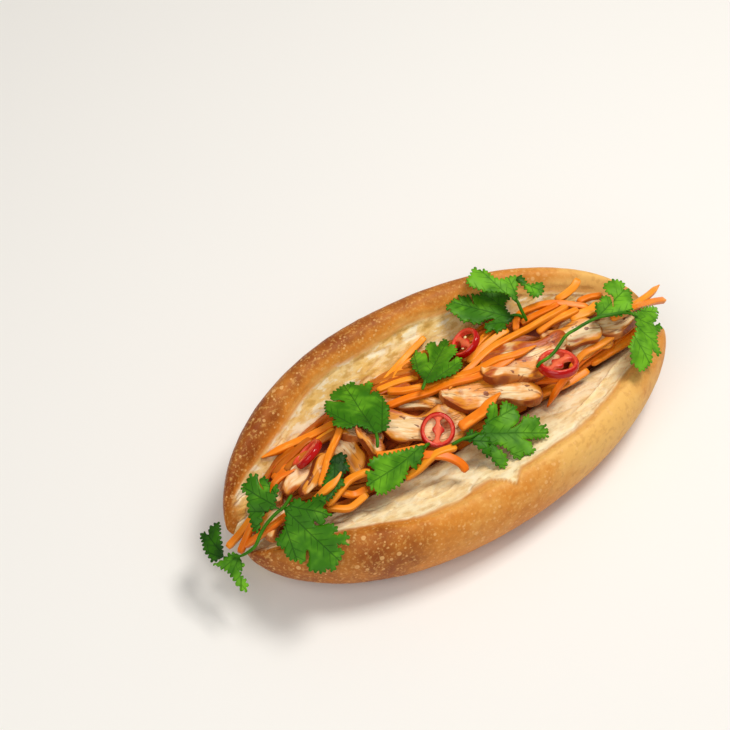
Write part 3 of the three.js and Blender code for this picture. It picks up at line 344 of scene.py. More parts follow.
def catmull(points, per=14):
    """Dense points on a centripetal Catmull-Rom curve through the given ones."""
    p = np.array(points, float)
    p = np.vstack([2 * p[0] - p[1], p, 2 * p[-1] - p[-2]])
    gaps = [max(1e-6, np.linalg.norm(b - a) ** 0.5) for a, b in zip(p, p[1:])]
    out = []
    for i in range(len(gaps) - 2):
        knots = np.cumsum([0.0] + gaps[i:i + 3])
        t = np.linspace(knots[1], knots[2], per, endpoint=False)[:, None]
        first = [blend(t, p[i + k], p[i + k + 1], knots[k], knots[k + 1]) for k in range(3)]
        second = [blend(t, first[k], first[k + 1], knots[k], knots[k + 2]) for k in range(2)]
        out.append(blend(t, *second, knots[1], knots[2]))
    return np.vstack(out + [p[-2]])


def stations(count):
    """Places from -1 to 1, both left out, that lie closer towards the ends."""
    return [-math.cos(math.pi * i / count) for i in range(1, count)]


def taper(s, power, root):
    return max(0.0, 1 - abs(s) ** power) ** (1 / root)


def circle(count, start=0.0):
    return 2 * np.pi * (np.arange(count) + start) / count


def squared(values, power):
    """Cosines or sines drawn out, so that a round section becomes a rounded square."""
    return np.sign(values) * np.abs(values) ** power


# ---- meshes ----
def lofted(rings, start, end, flip=False):
    """Vertices and faces of closed rings joined into one body, with a point at each end."""
    count = len(rings[0])
    here = np.arange(count)
    following = (here + 1) % count
    faces = []
    for i in range(len(rings) - 1):
        a, b = here + i * count, following + i * count
        faces += zip(a, b, b + count, a + count)
    n = len(rings) * count
    for j, k in zip(here, following):
        faces += [(n, k, j), (n + 1, n - count + j, n - count + k)]
    step = -1 if flip else 1
    return np.vstack([*rings, start, end]), [tuple(int(i) for i in f[::step]) for f in faces]


def link(name, data):
    obj = bpy.data.objects.new(name, data)
    bpy.context.scene.collection.objects.link(obj)
    return obj


def make_object(name, verts, faces, attributes=None):
    """An object from vertices in millimetres, with named point attributes."""
    mesh = bpy.data.meshes.new(name)
    mesh.from_pydata((np.asarray(verts) * MM).tolist(), [], faces)
    mesh.polygons.foreach_set("use_smooth", [True] * len(mesh.polygons))
    for key, values in (attributes or {}).items():
        values = np.asarray(values, np.float32)
        kind, field = ("FLOAT", "value") if values.ndim == 1 else ("FLOAT_VECTOR", "vector")
        mesh.attributes.new(key, kind, "POINT").data.foreach_set(field, values.ravel())
    mesh.update()
    return link(name, mesh)


class Joined:
    """Several bodies gathered into one mesh."""

    def __init__(self):
        self.verts, self.faces, self.attributes, self.count = [], [], {}, 0

    def add(self, verts, faces, **attributes):
        self.verts.append(np.asarray(verts, float))
        self.faces += [tuple(i + self.count for i in f) for f in faces]
        for key, value in attributes.items():
            value = value if np.ndim(value) else np.full(len(verts), value)
            self.attributes.setdefault(key, []).append(value)
        self.count += len(verts)

    def make(self, name):
        attributes = {key: np.concatenate(parts) for key, parts in self.attributes.items()}
        return make_object(name, np.vstack(self.verts), self.faces, attributes)


def vertex_normals(verts, faces):
    """Normals of a body of triangles and quads, each face weighted by its size."""
    normals = np.zeros_like(verts)
    for corners in (4, 3):
        group = np.array([f for f in faces if len(f) == corners])
        n = np.cross(verts[group[:, 2]] - verts[group[:, 0]], verts[group[:, -1]] - verts[group[:, 1]])
        for k in range(corners):
            np.add.at(normals, group[:, k], n)
    return unit(normals)


# ---- what lies under a place ----
SKY = 200.0  # higher than anything here


class Tops:
    """The height of the top surface of several bodies at a place in plan, in millimetres."""

    def __init__(self):
        self.trees = []

    def add(self, verts, faces):
        self.trees.append(BVHTree.FromPolygons([tuple(v) for v in verts], faces))

    def at(self, x, y, radius=0.0):
        """The highest point at a place, or at it and eight places round it."""
        offsets = [(0, 0)]
        if radius:
            offsets += [(radius * math.cos(a), radius * math.sin(a)) for a in np.arange(8) * math.pi / 4]
        hits = [tree.ray_cast((x + dx, y + dy, SKY), (0, 0, -1))[0] for dx, dy in offsets for tree in self.trees]
        return max((hit.z for hit in hits if hit is not None), default=-math.inf)


def node_mesh(name):
    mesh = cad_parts[name].data
    verts = np.empty(len(mesh.vertices) * 3)
    mesh.vertices.foreach_get("co", verts)
    return verts.reshape(-1, 3) / MM, [tuple(p.vertices) for p in mesh.polygons]


def rest_on(supports, sag, end_sag, pins=None, passes=120):
    """Heights of a stiff thing on supports: it rests on the high ones and bridges the low ones."""
    supports = np.array(supports, float)
    start = supports[np.isfinite(supports)].max()
    heights = np.where(np.isfinite(supports), supports, start)
    for _ in range(passes):
        free = np.empty_like(heights)
        free[1:-1] = (heights[:-2] + heights[2:]) / 2 - sag
        free[[0, -1]] = heights[[1, -2]] - end_sag
        heights = np.maximum(supports, heights * 0.5 + free * 0.5)
        for i, z in (pins or {}).items():
            heights[i] = z
    return heights


# ---- bread ----
BREAD_STATIONS = 320
CRUST_STEPS = 84
CRUMB_STEPS = 110
CRUMB_CROWDING = 0.62  # below 1, the crumb under the filling gets fewer points than the part that shows
CORE_STATIONS = 90
CORE_STEPS = 40
# How a section narrows and lowers towards the roll's ends: the powers towards -X and +X, and a root.
NARROWING = (2.3, 2.0, 1.5)
LOWERING = (2.6, 2.4, 1.9)

# Where the crust ends: its wander as (size, height), how much the crumb of the back half goes over
# the rim, and in front a torn notch and a tongue of crust beside it as (x, half width, depth).
RIM_WANDER = ((23, 1.3), (8, 0.7), (2.6, 0.25))
BACK_CRUMB = 2.2
NOTCH = (-3.5, 7.5, 6.5)
TONGUE = (-14, 7, 2.2)
EDGE_HALF = 118
CAP_HALF = 111

# Relief as (size along the surface, height). The crumb's is drawn out along the roll.
CRUMB_STRETCH = (0.6, 1, 1)
LUMPS, FINE_LUMPS = (14, 0.8), (5, 0.35)
RIDGE_SIZES, RIDGE_HEIGHT, RIDGE_BEND = (8.5, 4.2), 0.42, (9, 2.2)
PORES, SMALL_PORES = (3.0, 0.7), (1.6, 0.22)
CRUST_WAVES, CRUST_GRAIN = (28, 0.5), (4.5, 0.14)
# The crust's rim and the groove inside it as (distance from the edge, width, height).
RIM = (1.5, 1.6, 0.5)
GROOVE = (-0.9, 0.8, 0.5)
# In front, a crease in the crumb at the right, and where along the roll it starts, is deep and ends;
# and a loose lump (x, distance from the rim) of a size, with a groove round it.
CREASE_AWAY, CREASE_WIDTH, CREASE_DEPTH = 7.5, 0.8, 0.9
CREASE_WANDER, CREASE_X = (30, 2.5), (38, 52, 90, 103)
LOOSE_LUMP, LOOSE_SIZE, LOOSE_HEIGHT, LOOSE_GROOVE = (-34, -13), (8, 3.4), 1.3, 0.9


def end_scale(s, shape):
    left, right, root = shape
    return taper(s, left if s < 0 else right, root)


def towards_end(s):
    return float(smoothstep(0, 1, (-s - 0.3) / 0.55 if s < 0 else (s - 0.35) / 0.6))


def place_section(shape, points, s):
    """A section (y, z) put at s, from -1 at the left end of a shape to 1 at the right."""
    tip = shape["tip"]
    x = ROLL_CENTRE + abs(s) * (shape["reach"][0 if s < 0 else 1] - ROLL_CENTRE)
    y = tip[0] + (points[:, 0] - tip[0]) * end_scale(s, NARROWING)
    z = tip[1] + (points[:, 1] - tip[1]) * end_scale(s, LOWERING)
    return np.stack([np.full(len(y), x), y, z], axis=1)


def ends_of(shape):
    return [np.array([x, *shape["tip"]], float) for x in shape["reach"]]


def half_section(half, s):
    t = towards_end(s)

    def mixed(key):
        return catmull((1 - t) * np.array(half[key], float) + t * np.array(half[key + "_end"], float))

    crust = spaced(mixed("crust"), CRUST_STEPS)[:-1]
    dense = mixed("crumb")
    wanted = np.linspace(0, 1, CRUMB_STEPS + 1)[:-1] ** CRUMB_CROWDING
    crumb = picked(dense, run_along(dense) / length_of(dense), wanted)
    section = place_section(half, np.vstack([crust, crumb]), s)
    section[:, 2] = np.maximum(0, section[:, 2] - BASE_TRIM)
    return section


def crust_edge(x, line, front, seed):
    """How far the crumb goes over the rim, less than 0 where the crust goes into the crumb."""
    edge = sum(relief(line, feature, seed + k) for k, feature in enumerate(RIM_WANDER))
    if front:
        edge = edge + NOTCH[2] * np.clip(1 - np.abs(x - NOTCH[0]) / NOTCH[1], 0, 1) ** 1.2
        edge = edge - TONGUE[2] * bell(x, *TONGUE[:2])
    else:
        edge = edge + BACK_CRUMB
    return edge * smoothstep(1.0, 0.8, np.abs((x - ROLL_CENTRE) / EDGE_HALF))


def crumb_relief(verts, crumb, seed):
    """Soft lumps, thin torn ridges and pores: how far they push, and where ridges and pores are."""
    long = verts * CRUMB_STRETCH
    bent = long + np.stack([relief(long, RIDGE_BEND, seed + 60 + k) for k in range(3)], axis=1)
    push = crumb * (rough(long, LUMPS, 2, seed + 10) + rough(long, FINE_LUMPS, 3, seed + 14))
    broad, fine = [smoothstep(0.9, 0.985, 1 - np.abs(noise(bent, size, seed + 20 + 2 * k)))
                   for k, size in enumerate(RIDGE_SIZES)]
    kept = smoothstep(-0.25, 0.35, noise(verts, 17, seed + 21))
    ridge = np.maximum(broad, 0.7 * fine * kept)
    pores = (smoothstep(0.36, 0.62, noise(long, PORES[0], seed + 24))
             * smoothstep(-0.1, 0.45, noise(verts, 13, seed + 25)))
    small = smoothstep(0.42, 0.7, noise(verts, SMALL_PORES[0], seed + 26))
    push += RIDGE_HEIGHT * crumb * ridge
    push -= PORES[1] * crumb * pores + SMALL_PORES[1] * crumb * small
    return push, crumb * ridge, crumb * np.clip(pores + 0.5 * small, 0, 1)


def bread_half(half, joined, front):
    seed = half["seed"]
    rings, rim_distance = [], []
    for s in stations(BREAD_STATIONS):
        ring = half_section(half, s)
        run = run_along(np.vstack([ring, ring[:1]]))
        rings.append(ring)
        rim_distance.append(np.r_[run[:CRUST_STEPS], run[CRUST_STEPS:-1] - run[-1]])
    verts, faces = lofted(rings, *ends_of(half), flip=front)
    # away: the distance from the rim, above 0 over the crust and below 0 over the crumb.
    away = np.concatenate(rim_distance + [np.full(2, 8.0)])
    normals = vertex_normals(verts, faces)
    x, _, z = verts.T
    line = np.stack([x, np.zeros_like(x), np.full_like(x, seed * 7.0)], axis=1)
    past = away - crust_edge(x, line, front, seed)
    under = smoothstep(6, 2.5, z) * (normals[:, 2] < 0.2)
    crust = np.maximum(smoothstep(-0.6, 0.6, past), under)
    far_end = smoothstep(0.90, 0.97, np.abs(x - ROLL_CENTRE) / CAP_HALF)
    crust = np.maximum(crust, far_end * (away > -9))
    crumb = 1 - crust
    push, ridge, pore = crumb_relief(verts, crumb, seed)
    # The rim: the crust stands a little proud of the crumb, with a groove along its inner edge.
    push += RIM[2] * bell(past, *RIM[:2]) * (1 - far_end)
    push -= GROOVE[2] * bell(past, *GROOVE[:2]) * (1 - far_end)
    if front:
        crease = bell(away + CREASE_AWAY, relief(line, CREASE_WANDER, 5), CREASE_WIDTH)
        start, full, fading, end = CREASE_X
        push -= CREASE_DEPTH * crease * smoothstep(start, full, x) * smoothstep(end, fading, x)
        lump = np.hypot((x - LOOSE_LUMP[0]) / LOOSE_SIZE[0], (away - LOOSE_LUMP[1]) / LOOSE_SIZE[1])
        push += LOOSE_HEIGHT * bell(lump, 0, 1) - LOOSE_GROOVE * crumb * bell(lump, 1.25, 0.16)
    # Crust: gentle unevenness and fine grain. Its small blisters are in the material.
    push += crust * (rough(verts, CRUST_WAVES, 2, seed + 30) + rough(verts, CRUST_GRAIN, 2, seed + 32))
    patch = smoothstep(-0.5, 0.4, noise(verts, 22, seed + 41) + 0.35 * smoothstep(10, -60, x))
    spot = crust * patch * smoothstep(2, 9, z)
    push *= smoothstep(0.2, 3.0, z)
    verts = verts + normals * push[:, None]
    verts[:, 2] = np.maximum(0, verts[:, 2])
    level, steps = half["bake"]
    for change, low, high in steps:
        level = level + change * smoothstep(low, high, x)
    # Paler towards the rim, where the crust opened last.
    level = level - half["pale"] * smoothstep(9, 0.5, past)
    bake = np.clip(level + 0.4 * fbm(verts, 34, 2, seed + 50) + 0.25 * smoothstep(22, 4, z), 0, 1)
    # shade: 1 on the back half, whose crumb is painted in shade.
    joined.add(verts, faces, crust=crust, spot=spot, pore=pore, bake=bake, ridge=ridge,
               edge=bell(past, 0.3, 0.9) * (1 - far_end), shade=float(not front))


# ---- heap core ----
def core_mesh(sink):
    """The core that the strips lie on, lowered by a little."""
    top = spaced(catmull(CORE["top"]), CORE_STEPS)[:-1]
    section = np.vstack([top, CORE["top"][-1], CORE["foot"]])
    rings = [place_section(CORE, section, s) for s in stations(CORE_STATIONS)]
    verts, faces = lofted(rings, *ends_of(CORE), flip=True)
    return verts - (0, 0, sink), faces


# ---- chicken ----
CHICKEN_SINK = 3.0
SLICE_STATIONS = 70
SLICE_SIDES = 48
SLICE_LEVELS = 6
SLICE_SLANT = 0.7
SLICE_BOW = 0.13
SLICE_SQUARENESS = (0.5, 0.42)
STEEPEST_LEAN = 0.7
# Relief as (size, height), and how fibres are drawn out along a slice.
FIBRES, TEARS, UNEVEN = (1.5, 0.2), (3.4, 0.6), (7, 0.5)
FIBRE_STRETCH, UNEVEN_STRETCH = (0.14, 1, 0.3), (0.5, 1, 0.3)


def chicken_slice(item, tops, seed):
    """A flat slice. face: 1 on its two cut faces, 0 on the seared skin round them."""
    at, (length, width, thick), turn, wave, brown = item[:5]
    angle = math.radians(turn)
    along = np.array([math.cos(angle), math.sin(angle), 0])
    aside = np.array([-math.sin(angle), math.cos(angle), 0])

    def middle_at(t):
        bow = aside * width * SLICE_BOW * math.sin(wave * 3 + 2.4 * t)
        return np.array([*at, 0.0]) + along * t * length / 2 + bow

    # Its line is found at a few stations, as a slice is stiff, and refined after.
    ts = [-1.0, *stations(SLICE_LEVELS), 1.0]
    reach = width * 0.3
    levels, slopes = [], []
    for t in ts:
        left, centre, right = [tops.at(*(middle_at(t) + aside * k)[:2]) for k in (-reach, 0, reach)]
        lean = (right - left) / (2 * reach)
        slopes.append(min(STEEPEST_LEAN, max(-STEEPEST_LEAN, lean)) if math.isfinite(lean) else 0.0)
        levels.append(max(centre, (left + right) / 2))
    heights = item[5:] * len(ts) or rest_on(levels, 0, 0, passes=60)
    mean_slope = sum(slopes) / len(slopes)

    def raised(t):
        return middle_at(t) + (0, 0, np.interp(t, ts, heights) + thick / 2)

    phi = circle(SLICE_SIDES)
    c = squared(np.cos(phi), SLICE_SQUARENESS[0])
    s = squared(np.sin(phi), SLICE_SQUARENESS[1])
    slant = SLICE_SLANT * math.sin(wave * 7)
    rings, local, face, rim = [], [], [], []
    for t in stations(SLICE_STATIONS):
        half = width / 2 * taper(t, 5, 1.5) * (
            1 + 0.12 * math.sin(wave * 5 + 3.1 * t)
            + 0.16 * np.sin(wave * 3 + 5.2 * t + np.where(c > 0, 0.0, 2.3)))
        deep = thick / 2 * taper(t, 8, 2.6)
        tilt = math.atan(mean_slope * 0.6 + 0.4 * np.interp(t, ts, slopes))
        side = aside * math.cos(tilt) + (0, 0, math.sin(tilt))
        up = np.cross(along, side)
        rings.append(raised(t) + np.outer(half * c, side) + np.outer(deep * s, up)
                     + np.outer(slant * half * c, along))
        local.append(np.stack([np.full(SLICE_SIDES, t * length / 2), c * half, s * deep], axis=1))
        face.append(smoothstep(0.99, 0.86, np.abs(c)) * smoothstep(0.5, 0.8, np.abs(s)))
        rim.append(half * (1 - np.abs(c)))
    verts, faces = lofted(rings, raised(-1), raised(1))
    local = np.vstack(local + [(-length / 2, 0, 0), (length / 2, 0, 0)]) + (0, 0, seed * 11.0)
    inward = length / 2 - np.abs(local[:, 0])
    face = np.concatenate(face + [np.zeros(2)]) * smoothstep(0.4, 2.2, inward)
    rim = np.minimum(np.concatenate(rim + [np.zeros(2)]), inward)
    fibre = local * FIBRE_STRETCH
    tear = smoothstep(0.84, 1.0, 1 - np.abs(noise(fibre, TEARS[0], seed)))
    tear = tear * smoothstep(0, 0.5, noise(local, 8, seed + 4))
    push = relief(fibre, FIBRES, seed + 1) + relief(local * UNEVEN_STRETCH, UNEVEN, seed + 2) - TEARS[1] * tear
    verts = verts + vertex_normals(verts, faces) * (push * smoothstep(0, 3, inward))[:, None]
    return verts, faces, dict(local=local, face=face, rim=rim, groove=tear, brown=np.full(len(verts), brown))


# ---- chili rings ----
RING_RADIUS = 8.0
RING_WALL = 1.9
RING_HEIGHT = 3.4
RING_BEVEL = 0.42
RING_SIDES = 96
WEB_ROWS = 41
WEB_SIDES = 16
SEEDED_RING = 3
SEED_SIZE = (0.95, 0.4, 0.8)
WALL_RELIEF, WEB_RELIEF = (2.2, 0.12), (1.6, 0.16)
SKIN, FLESH, WEB, SEED = 0.0, 1.0, 2.0, 3.0


def ring_place(at, facing, spin):
    azimuth, elevation = (math.radians(a) for a in facing)
    normal = Vector((math.cos(azimuth) * math.cos(elevation),
                     math.sin(azimuth) * math.cos(elevation), math.sin(elevation)))
    turn = Vector((0, 1, 0)).rotation_difference(normal).to_matrix().to_4x4()
    return Matrix.Translation(at) @ turn @ Matrix.Rotation(math.radians(spin), 4, "Y")


def placed(points, place):
    m = np.array(place)
    return points @ m[:3, :3].T + m[:3, 3]


def wall_profile(half):
    """The section of a ring's wall as rows of radius, height and part."""
    outer, inner = RING_RADIUS, RING_RADIUS - RING_WALL

    def cut(shares, side):
        return [(outer - RING_BEVEL + (inner - outer + RING_BEVEL) * a,
                 side * (half + 0.14 * math.sin(a * math.pi) - 0.3 * a ** 4), FLESH) for a in shares]

    skin = [(outer + 0.12 - 0.5 * abs(a) ** 5 - 0.1 * a * a, a * (half - 0.12 * abs(a) ** 4), SKIN)
            for a in np.linspace(-1, 1, 9)]
    inside = [(inner + 0.12 * (1 - a * a) - 0.06, a * (half - 0.35), FLESH) for a in np.linspace(1, -1, 7)[1:-1]]
    return np.array(skin + cut(np.linspace(0, 1, 8)[1:], 1) + inside + cut(np.linspace(1, 0, 8)[:-1], -1))


def chili_ring(item, seed):
    """Wall, web and seeds, told apart by the part attribute."""
    at, facing, spin, size = item[:4]
    place = ring_place(at, facing, spin)
    joined = Joined()

    def add(verts, faces, part, depth):
        joined.add(placed(verts * size, place), faces, part=part, depth=depth)

    half = (item[4] if len(item) > 4 else RING_HEIGHT) / 2
    profile = wall_profile(half)
    theta = circle(RING_SIDES)
    wobble = 1 + 0.02 * np.sin(2 * theta + seed) + 0.014 * np.sin(3 * theta + 2 * seed)
    radius = profile[:, 0] * wobble[:, None]
    verts = np.stack([radius * np.cos(theta)[:, None], np.tile(profile[:, 1], (RING_SIDES, 1)),
                      radius * np.sin(theta)[:, None]], axis=2).reshape(-1, 3)
    verts[:, 1] += relief(verts + seed * 9, WALL_RELIEF, seed)
    n = len(profile)
    faces = [(i * n + j, i * n + (j + 1) % n, (i + 1) % RING_SIDES * n + (j + 1) % n, (i + 1) % RING_SIDES * n + j)
             for i in range(RING_SIDES) for j in range(n)]
    depth = np.clip((RING_RADIUS - np.hypot(verts[:, 0], verts[:, 2])) / RING_WALL, 0, 1)
    add(verts, faces, np.tile(profile[:, 2], RING_SIDES), depth)
    # Web: a bar on a diameter with a swollen core, and cut ends that spread into the wall.
    rows = np.linspace(-1, 1, WEB_ROWS)
    reach = RING_RADIUS - RING_WALL * 0.6
    swell = 1.0 + 1.6 * bell(rows, 0, 0.3) + 2.2 * smoothstep(0.6, 1.0, np.abs(rows))
    swell = swell * (1 + 0.12 * np.sin(rows * 9 + seed))
    shift = 0.35 * np.sin(rows * 3 + seed * 2)
    phi = circle(WEB_SIDES)
    web = [np.stack([np.full(WEB_SIDES, x), half * 0.66 * squared(np.sin(phi), 0.6),
                     c + w * squared(np.cos(phi), 0.7)], axis=1) for x, w, c in zip(rows * reach, swell, shift)]
    verts, faces = lofted(web, (-reach, 0, shift[0]), (reach, 0, shift[-1]))
    verts[:, 1] += relief(verts + seed * 5, WEB_RELIEF, seed + 3)
    add(verts, faces, WEB, np.clip(1.2 - np.abs(verts[:, 2]) / 2.6, 0, 1))
    # Seeds against the core.
    rng = np.random.default_rng(100 + seed)
    for sign in (-1, 1) if seed == SEEDED_RING else ():
        u, v = np.meshgrid(circle(14), np.linspace(0.25, np.pi - 0.25, 6))
        body = np.stack([np.cos(u) * np.sin(v), np.cos(v), np.sin(u) * np.sin(v)], axis=2) * SEED_SIZE
        spot = np.array([rng.uniform(-2.6, 2.6), rng.uniform(0.1, 0.7), sign * rng.uniform(2.3, 3.0)])
        pole = (0, SEED_SIZE[1], 0)
        add(*lofted(list(body + spot), spot + pole, spot - pole), SEED, 0.5)
    return joined


# ---- carrot strips ----
STRIP_WIDTH = 3.3
STRIP_THICK = 2.6
STRIP_SIDES = 16
STRIP_SQUARENESS = 0.34
STRIP_STEP = 13.0
STRIP_SAG = 5.0
STRIP_BEND = 1.4
STRIP_SINK = 1.1
STRIP_GAP = 0.2
POINT_LENGTH = 9
SPINE_STEP = 4.0
SWEPT_STEP = 1.3
CORE_SINK = 1.2
RING_ROOM = 0.4
# The strips half sunk in the heap's skin: how many, and the ranges that they are drawn from.
UNDER_STRIPS = 90
UNDER_X, UNDER_LENGTH, UNDER_DEPTH = (-96, 98), (20, 46), (0.1, 0.7)
UNDER_PLACE, UNDER_DRIFT = (0.02, 1), (-0.3, 0.3)


def strip_spine(path, firm, soft):
    """A strip's line: as it is given, or resting on firm things and sunk a little into soft ones."""
    given = all(len(p) > 2 for p in path)
    line = catmull(path if given else [p[:2] for p in path])
    count = max(6, round(length_of(line) / SPINE_STEP))
    spine = spaced(line, count)
    half = STRIP_THICK / 2
    supports = np.array([max(firm.at(x, y, 0.6) + half + STRIP_GAP, soft.at(x, y, 0.4) + half - STRIP_SINK)
                         for x, y in spine[:, :2]])
    if given:
        heights = np.maximum(spine[:, 2], np.minimum(supports, spine[:, 2] + 4))
    else:
        pins = {i: path[k][2] for i, k in ((0, 0), (count, -1)) if len(path[k]) > 2}
        step = length_of(line) / count / STRIP_STEP
        heights = rest_on(supports, STRIP_BEND * step * step, STRIP_SAG * step, pins)
    for _ in range(2):
        heights[1:-1] = (heights[:-2] + 2 * heights[1:-1] + heights[2:]) / 4
    return np.column_stack([spine[:, :2], heights])


def outside_rings(spine):
    """The parts of a strip's line that leave the chili rings uncovered."""
    line = spaced(catmull(spine, 6), max(8, round(length_of(spine) / 1.2)))
    free = np.ones(len(line), bool)
    for at, facing, spin, size, *_ in CHILI:
        local = placed(line, ring_place(at, facing, spin).inverted())
        reach = (RING_RADIUS + RING_ROOM) * size + STRIP_WIDTH / 2
        free &= ~((np.hypot(local[:, 0], local[:, 2]) < reach)
                  & (local[:, 1] > -RING_HEIGHT / 2 - STRIP_THICK / 2) & (local[:, 1] < 12))
    parts, start = [], None
    for i, ok in enumerate([*free, False]):
        if ok and start is None:
            start = i
        if not ok and start is not None:
            if i - start > 5:
                parts.append(line[start:i])
            start = None
    return parts


def under_strip(rng):
    """The line of a strip half sunk in the skin of the heap, and its turn about that line."""
    skin = catmull(CORE["top"])
    middle, length = rng.uniform(*UNDER_X), rng.uniform(*UNDER_LENGTH)
    place, drift = rng.uniform(*UNDER_PLACE), rng.uniform(*UNDER_DRIFT)
    line, turns = [], []
    for t in np.linspace(-0.5, 0.5, 7):
        x = middle + t * length
        reach = CORE["reach"][0 if x < ROLL_CENTRE else 1]
        s = (x - ROLL_CENTRE) / abs(reach - ROLL_CENTRE)
        section = place_section(CORE, skin, min(0.97, max(-0.97, s)))[:, 1:]
        k = min(len(section) - 2, max(1, round((place + t * drift) * (len(section) - 1))))
        along = section[k + 1] - section[k - 1]
        normal = np.array([-along[1], along[0]]) / np.linalg.norm(along)
        y, z = section[k] - normal * (STRIP_THICK / 2 - rng.uniform(*UNDER_DEPTH))
        line.append((x, y, z))
        turns.append(math.atan2(-normal[0], normal[1]))
    return np.array(line), turns


def swept(spine, sides, half_width, half_thick, squareness, point=0, twist=None):
    """A bar along a spine, with a rounded-square section that may narrow to a point at one end."""
    dense = catmull(spine, 5)
    line = spaced(dense, max(8, int(length_of(dense) / SWEPT_STEP)))
    forward = unit(np.gradient(line, axis=0))
    side = unit(np.stack([-forward[:, 1], forward[:, 0], np.zeros(len(line))], axis=1))
    up = np.cross(forward, side)
    if twist is not None:
        c, s = np.cos(twist(len(line)))[:, None], np.sin(twist(len(line)))[:, None]
        side, up = side * c + up * s, up * c - side * s
    run = run_along(line)
    total = run[-1]
    scale = 0.72 + 0.28 * np.sqrt(smoothstep(0, 1.1, np.minimum(run, total - run)))
    if point:
        scale = scale * (0.3 + 0.7 * smoothstep(0, POINT_LENGTH, run if point < 0 else total - run))
    phi = circle(sides, 0.5)
    c, s = squared(np.cos(phi), squareness), squared(np.sin(phi), squareness)
    rings = [p + np.outer(c * half_width * k, a) + np.outer(s * half_thick * k, b)
             for p, a, b, k in zip(line, side, up, scale)]
    verts, faces = lofted(rings, line[0] - forward[0] * 0.15, line[-1] + forward[-1] * 0.15)
    return verts, faces, np.r_[np.repeat(run, sides), 0, total], np.r_[np.tile(phi, len(line)), 0, 0]


# ---- cilantro ----
LEAF_THICK = 0.45
LEAF_GRID = 1.2
LEAF_EDGE = 0.4
LEAF_GAP = 0.35
TOOTH_LENGTH = 2.2
TOOTH_DEPTH = 1.5
STALK_RADIUS = 0.8
STALK_LIFT = 3.0
# The main veins: the angle from one to the next, and how far behind the base they meet, of the length.
VEIN_ANGLE = 0.46
VEIN_START = 0.12
SIDE_VEIN_GAP = 3.8
# The height of a leaf's ripples from vein to vein, its folds (size, height) and its edges' droop.
LEAF_RIPPLE = 0.22
FOLD, SMALL_FOLD = (9, 0.7), (4, 0.35)
LEAF_DROOP = 4.8


def leaf_edge(outline, seed):
    """Close points along a leaf's margin: its line with small teeth, but none inside the notches."""
    line = catmull(outline + outline[:1], 6)
    count = round(length_of(line) / LEAF_EDGE)
    edge = spaced(line, count)[:-1]
    area = np.sum(edge[:, 0] * np.roll(edge[:, 1], -1) - edge[:, 1] * np.roll(edge[:, 0], -1))
    if area < 0:
        edge = edge[::-1]
    along = unit(np.roll(edge, -1, axis=0) - np.roll(edge, 1, axis=0))
    outward = np.stack([along[:, 1], -along[:, 0]], axis=1)
    index = np.arange(count)
    apart = np.abs(index[:, None] - index[None])
    apart = np.minimum(apart, count - apart)
    near = np.where(apart > 7, lengths(edge[:, None] - edge[None]), 99).min(axis=1)
    room = smoothstep(1.2, 2.4, near) * smoothstep(1.5, 4, lengths(edge - outline[0]))
    room = (room + np.roll(room, 1) + np.roll(room, -1)) / 3
    run = index * LEAF_EDGE + 0.5 * np.sin(index * 0.05 * LEAF_EDGE * 7 + seed)
    tooth = np.abs(np.sin(np.pi * run / TOOTH_LENGTH)) ** 0.9
    return edge + outward * (room * TOOTH_DEPTH * (tooth - 0.5))[:, None]


def within(points, edge):
    """Which points lie inside a closed line."""
    x, y = points.T
    odd = np.zeros(len(points), bool)
    for (x1, y1), (x2, y2) in zip(edge, np.roll(edge, -1, axis=0)):
        if y1 != y2:
            odd ^= ((y1 > y) != (y2 > y)) & (x < (x2 - x1) * (y - y1) / (y2 - y1) + x1)
    return odd


def leaf_sheet(outline, seed):
    """A flat leaf as plan points and triangles, facing up."""
    edge = leaf_edge(outline, seed)
    low, high = edge.min(axis=0), edge.max(axis=0)
    rows = np.arange(low[1], high[1], LEAF_GRID * 0.87)
    grid = np.array([(x, y) for k, y in enumerate(rows)
                     for x in np.arange(low[0] + (k % 2) * LEAF_GRID / 2, high[0], LEAF_GRID)])
    grid = grid[within(grid, edge)]
    clear = lengths(grid[:, None] - edge[None]).min(axis=1) > LEAF_GRID * 0.55
    ring = [(i, (i + 1) % len(edge)) for i in range(len(edge))]
    made = delaunay_2d_cdt([Vector(p) for p in np.vstack([edge, grid[clear]])], ring, [], 1, 1e-5)
    points = np.array([tuple(p) for p in made[0]])
    faces = []
    for f in made[2]:
        (ax, ay), (bx, by), (cx, cy) = points[list(f)]
        faces.append(tuple(f) if (bx - ax) * (cy - ay) > (by - ay) * (cx - ax) else tuple(reversed(f)))
    return points, faces


def evened(values, pairs):
    """The mean of each point's neighbours."""
    total, count = np.zeros_like(values), np.zeros(len(values))
    np.add.at(total, pairs[:, 0], values[pairs[:, 1]])
    np.add.at(count, pairs[:, 0], 1)
    return total / np.maximum(1, count)


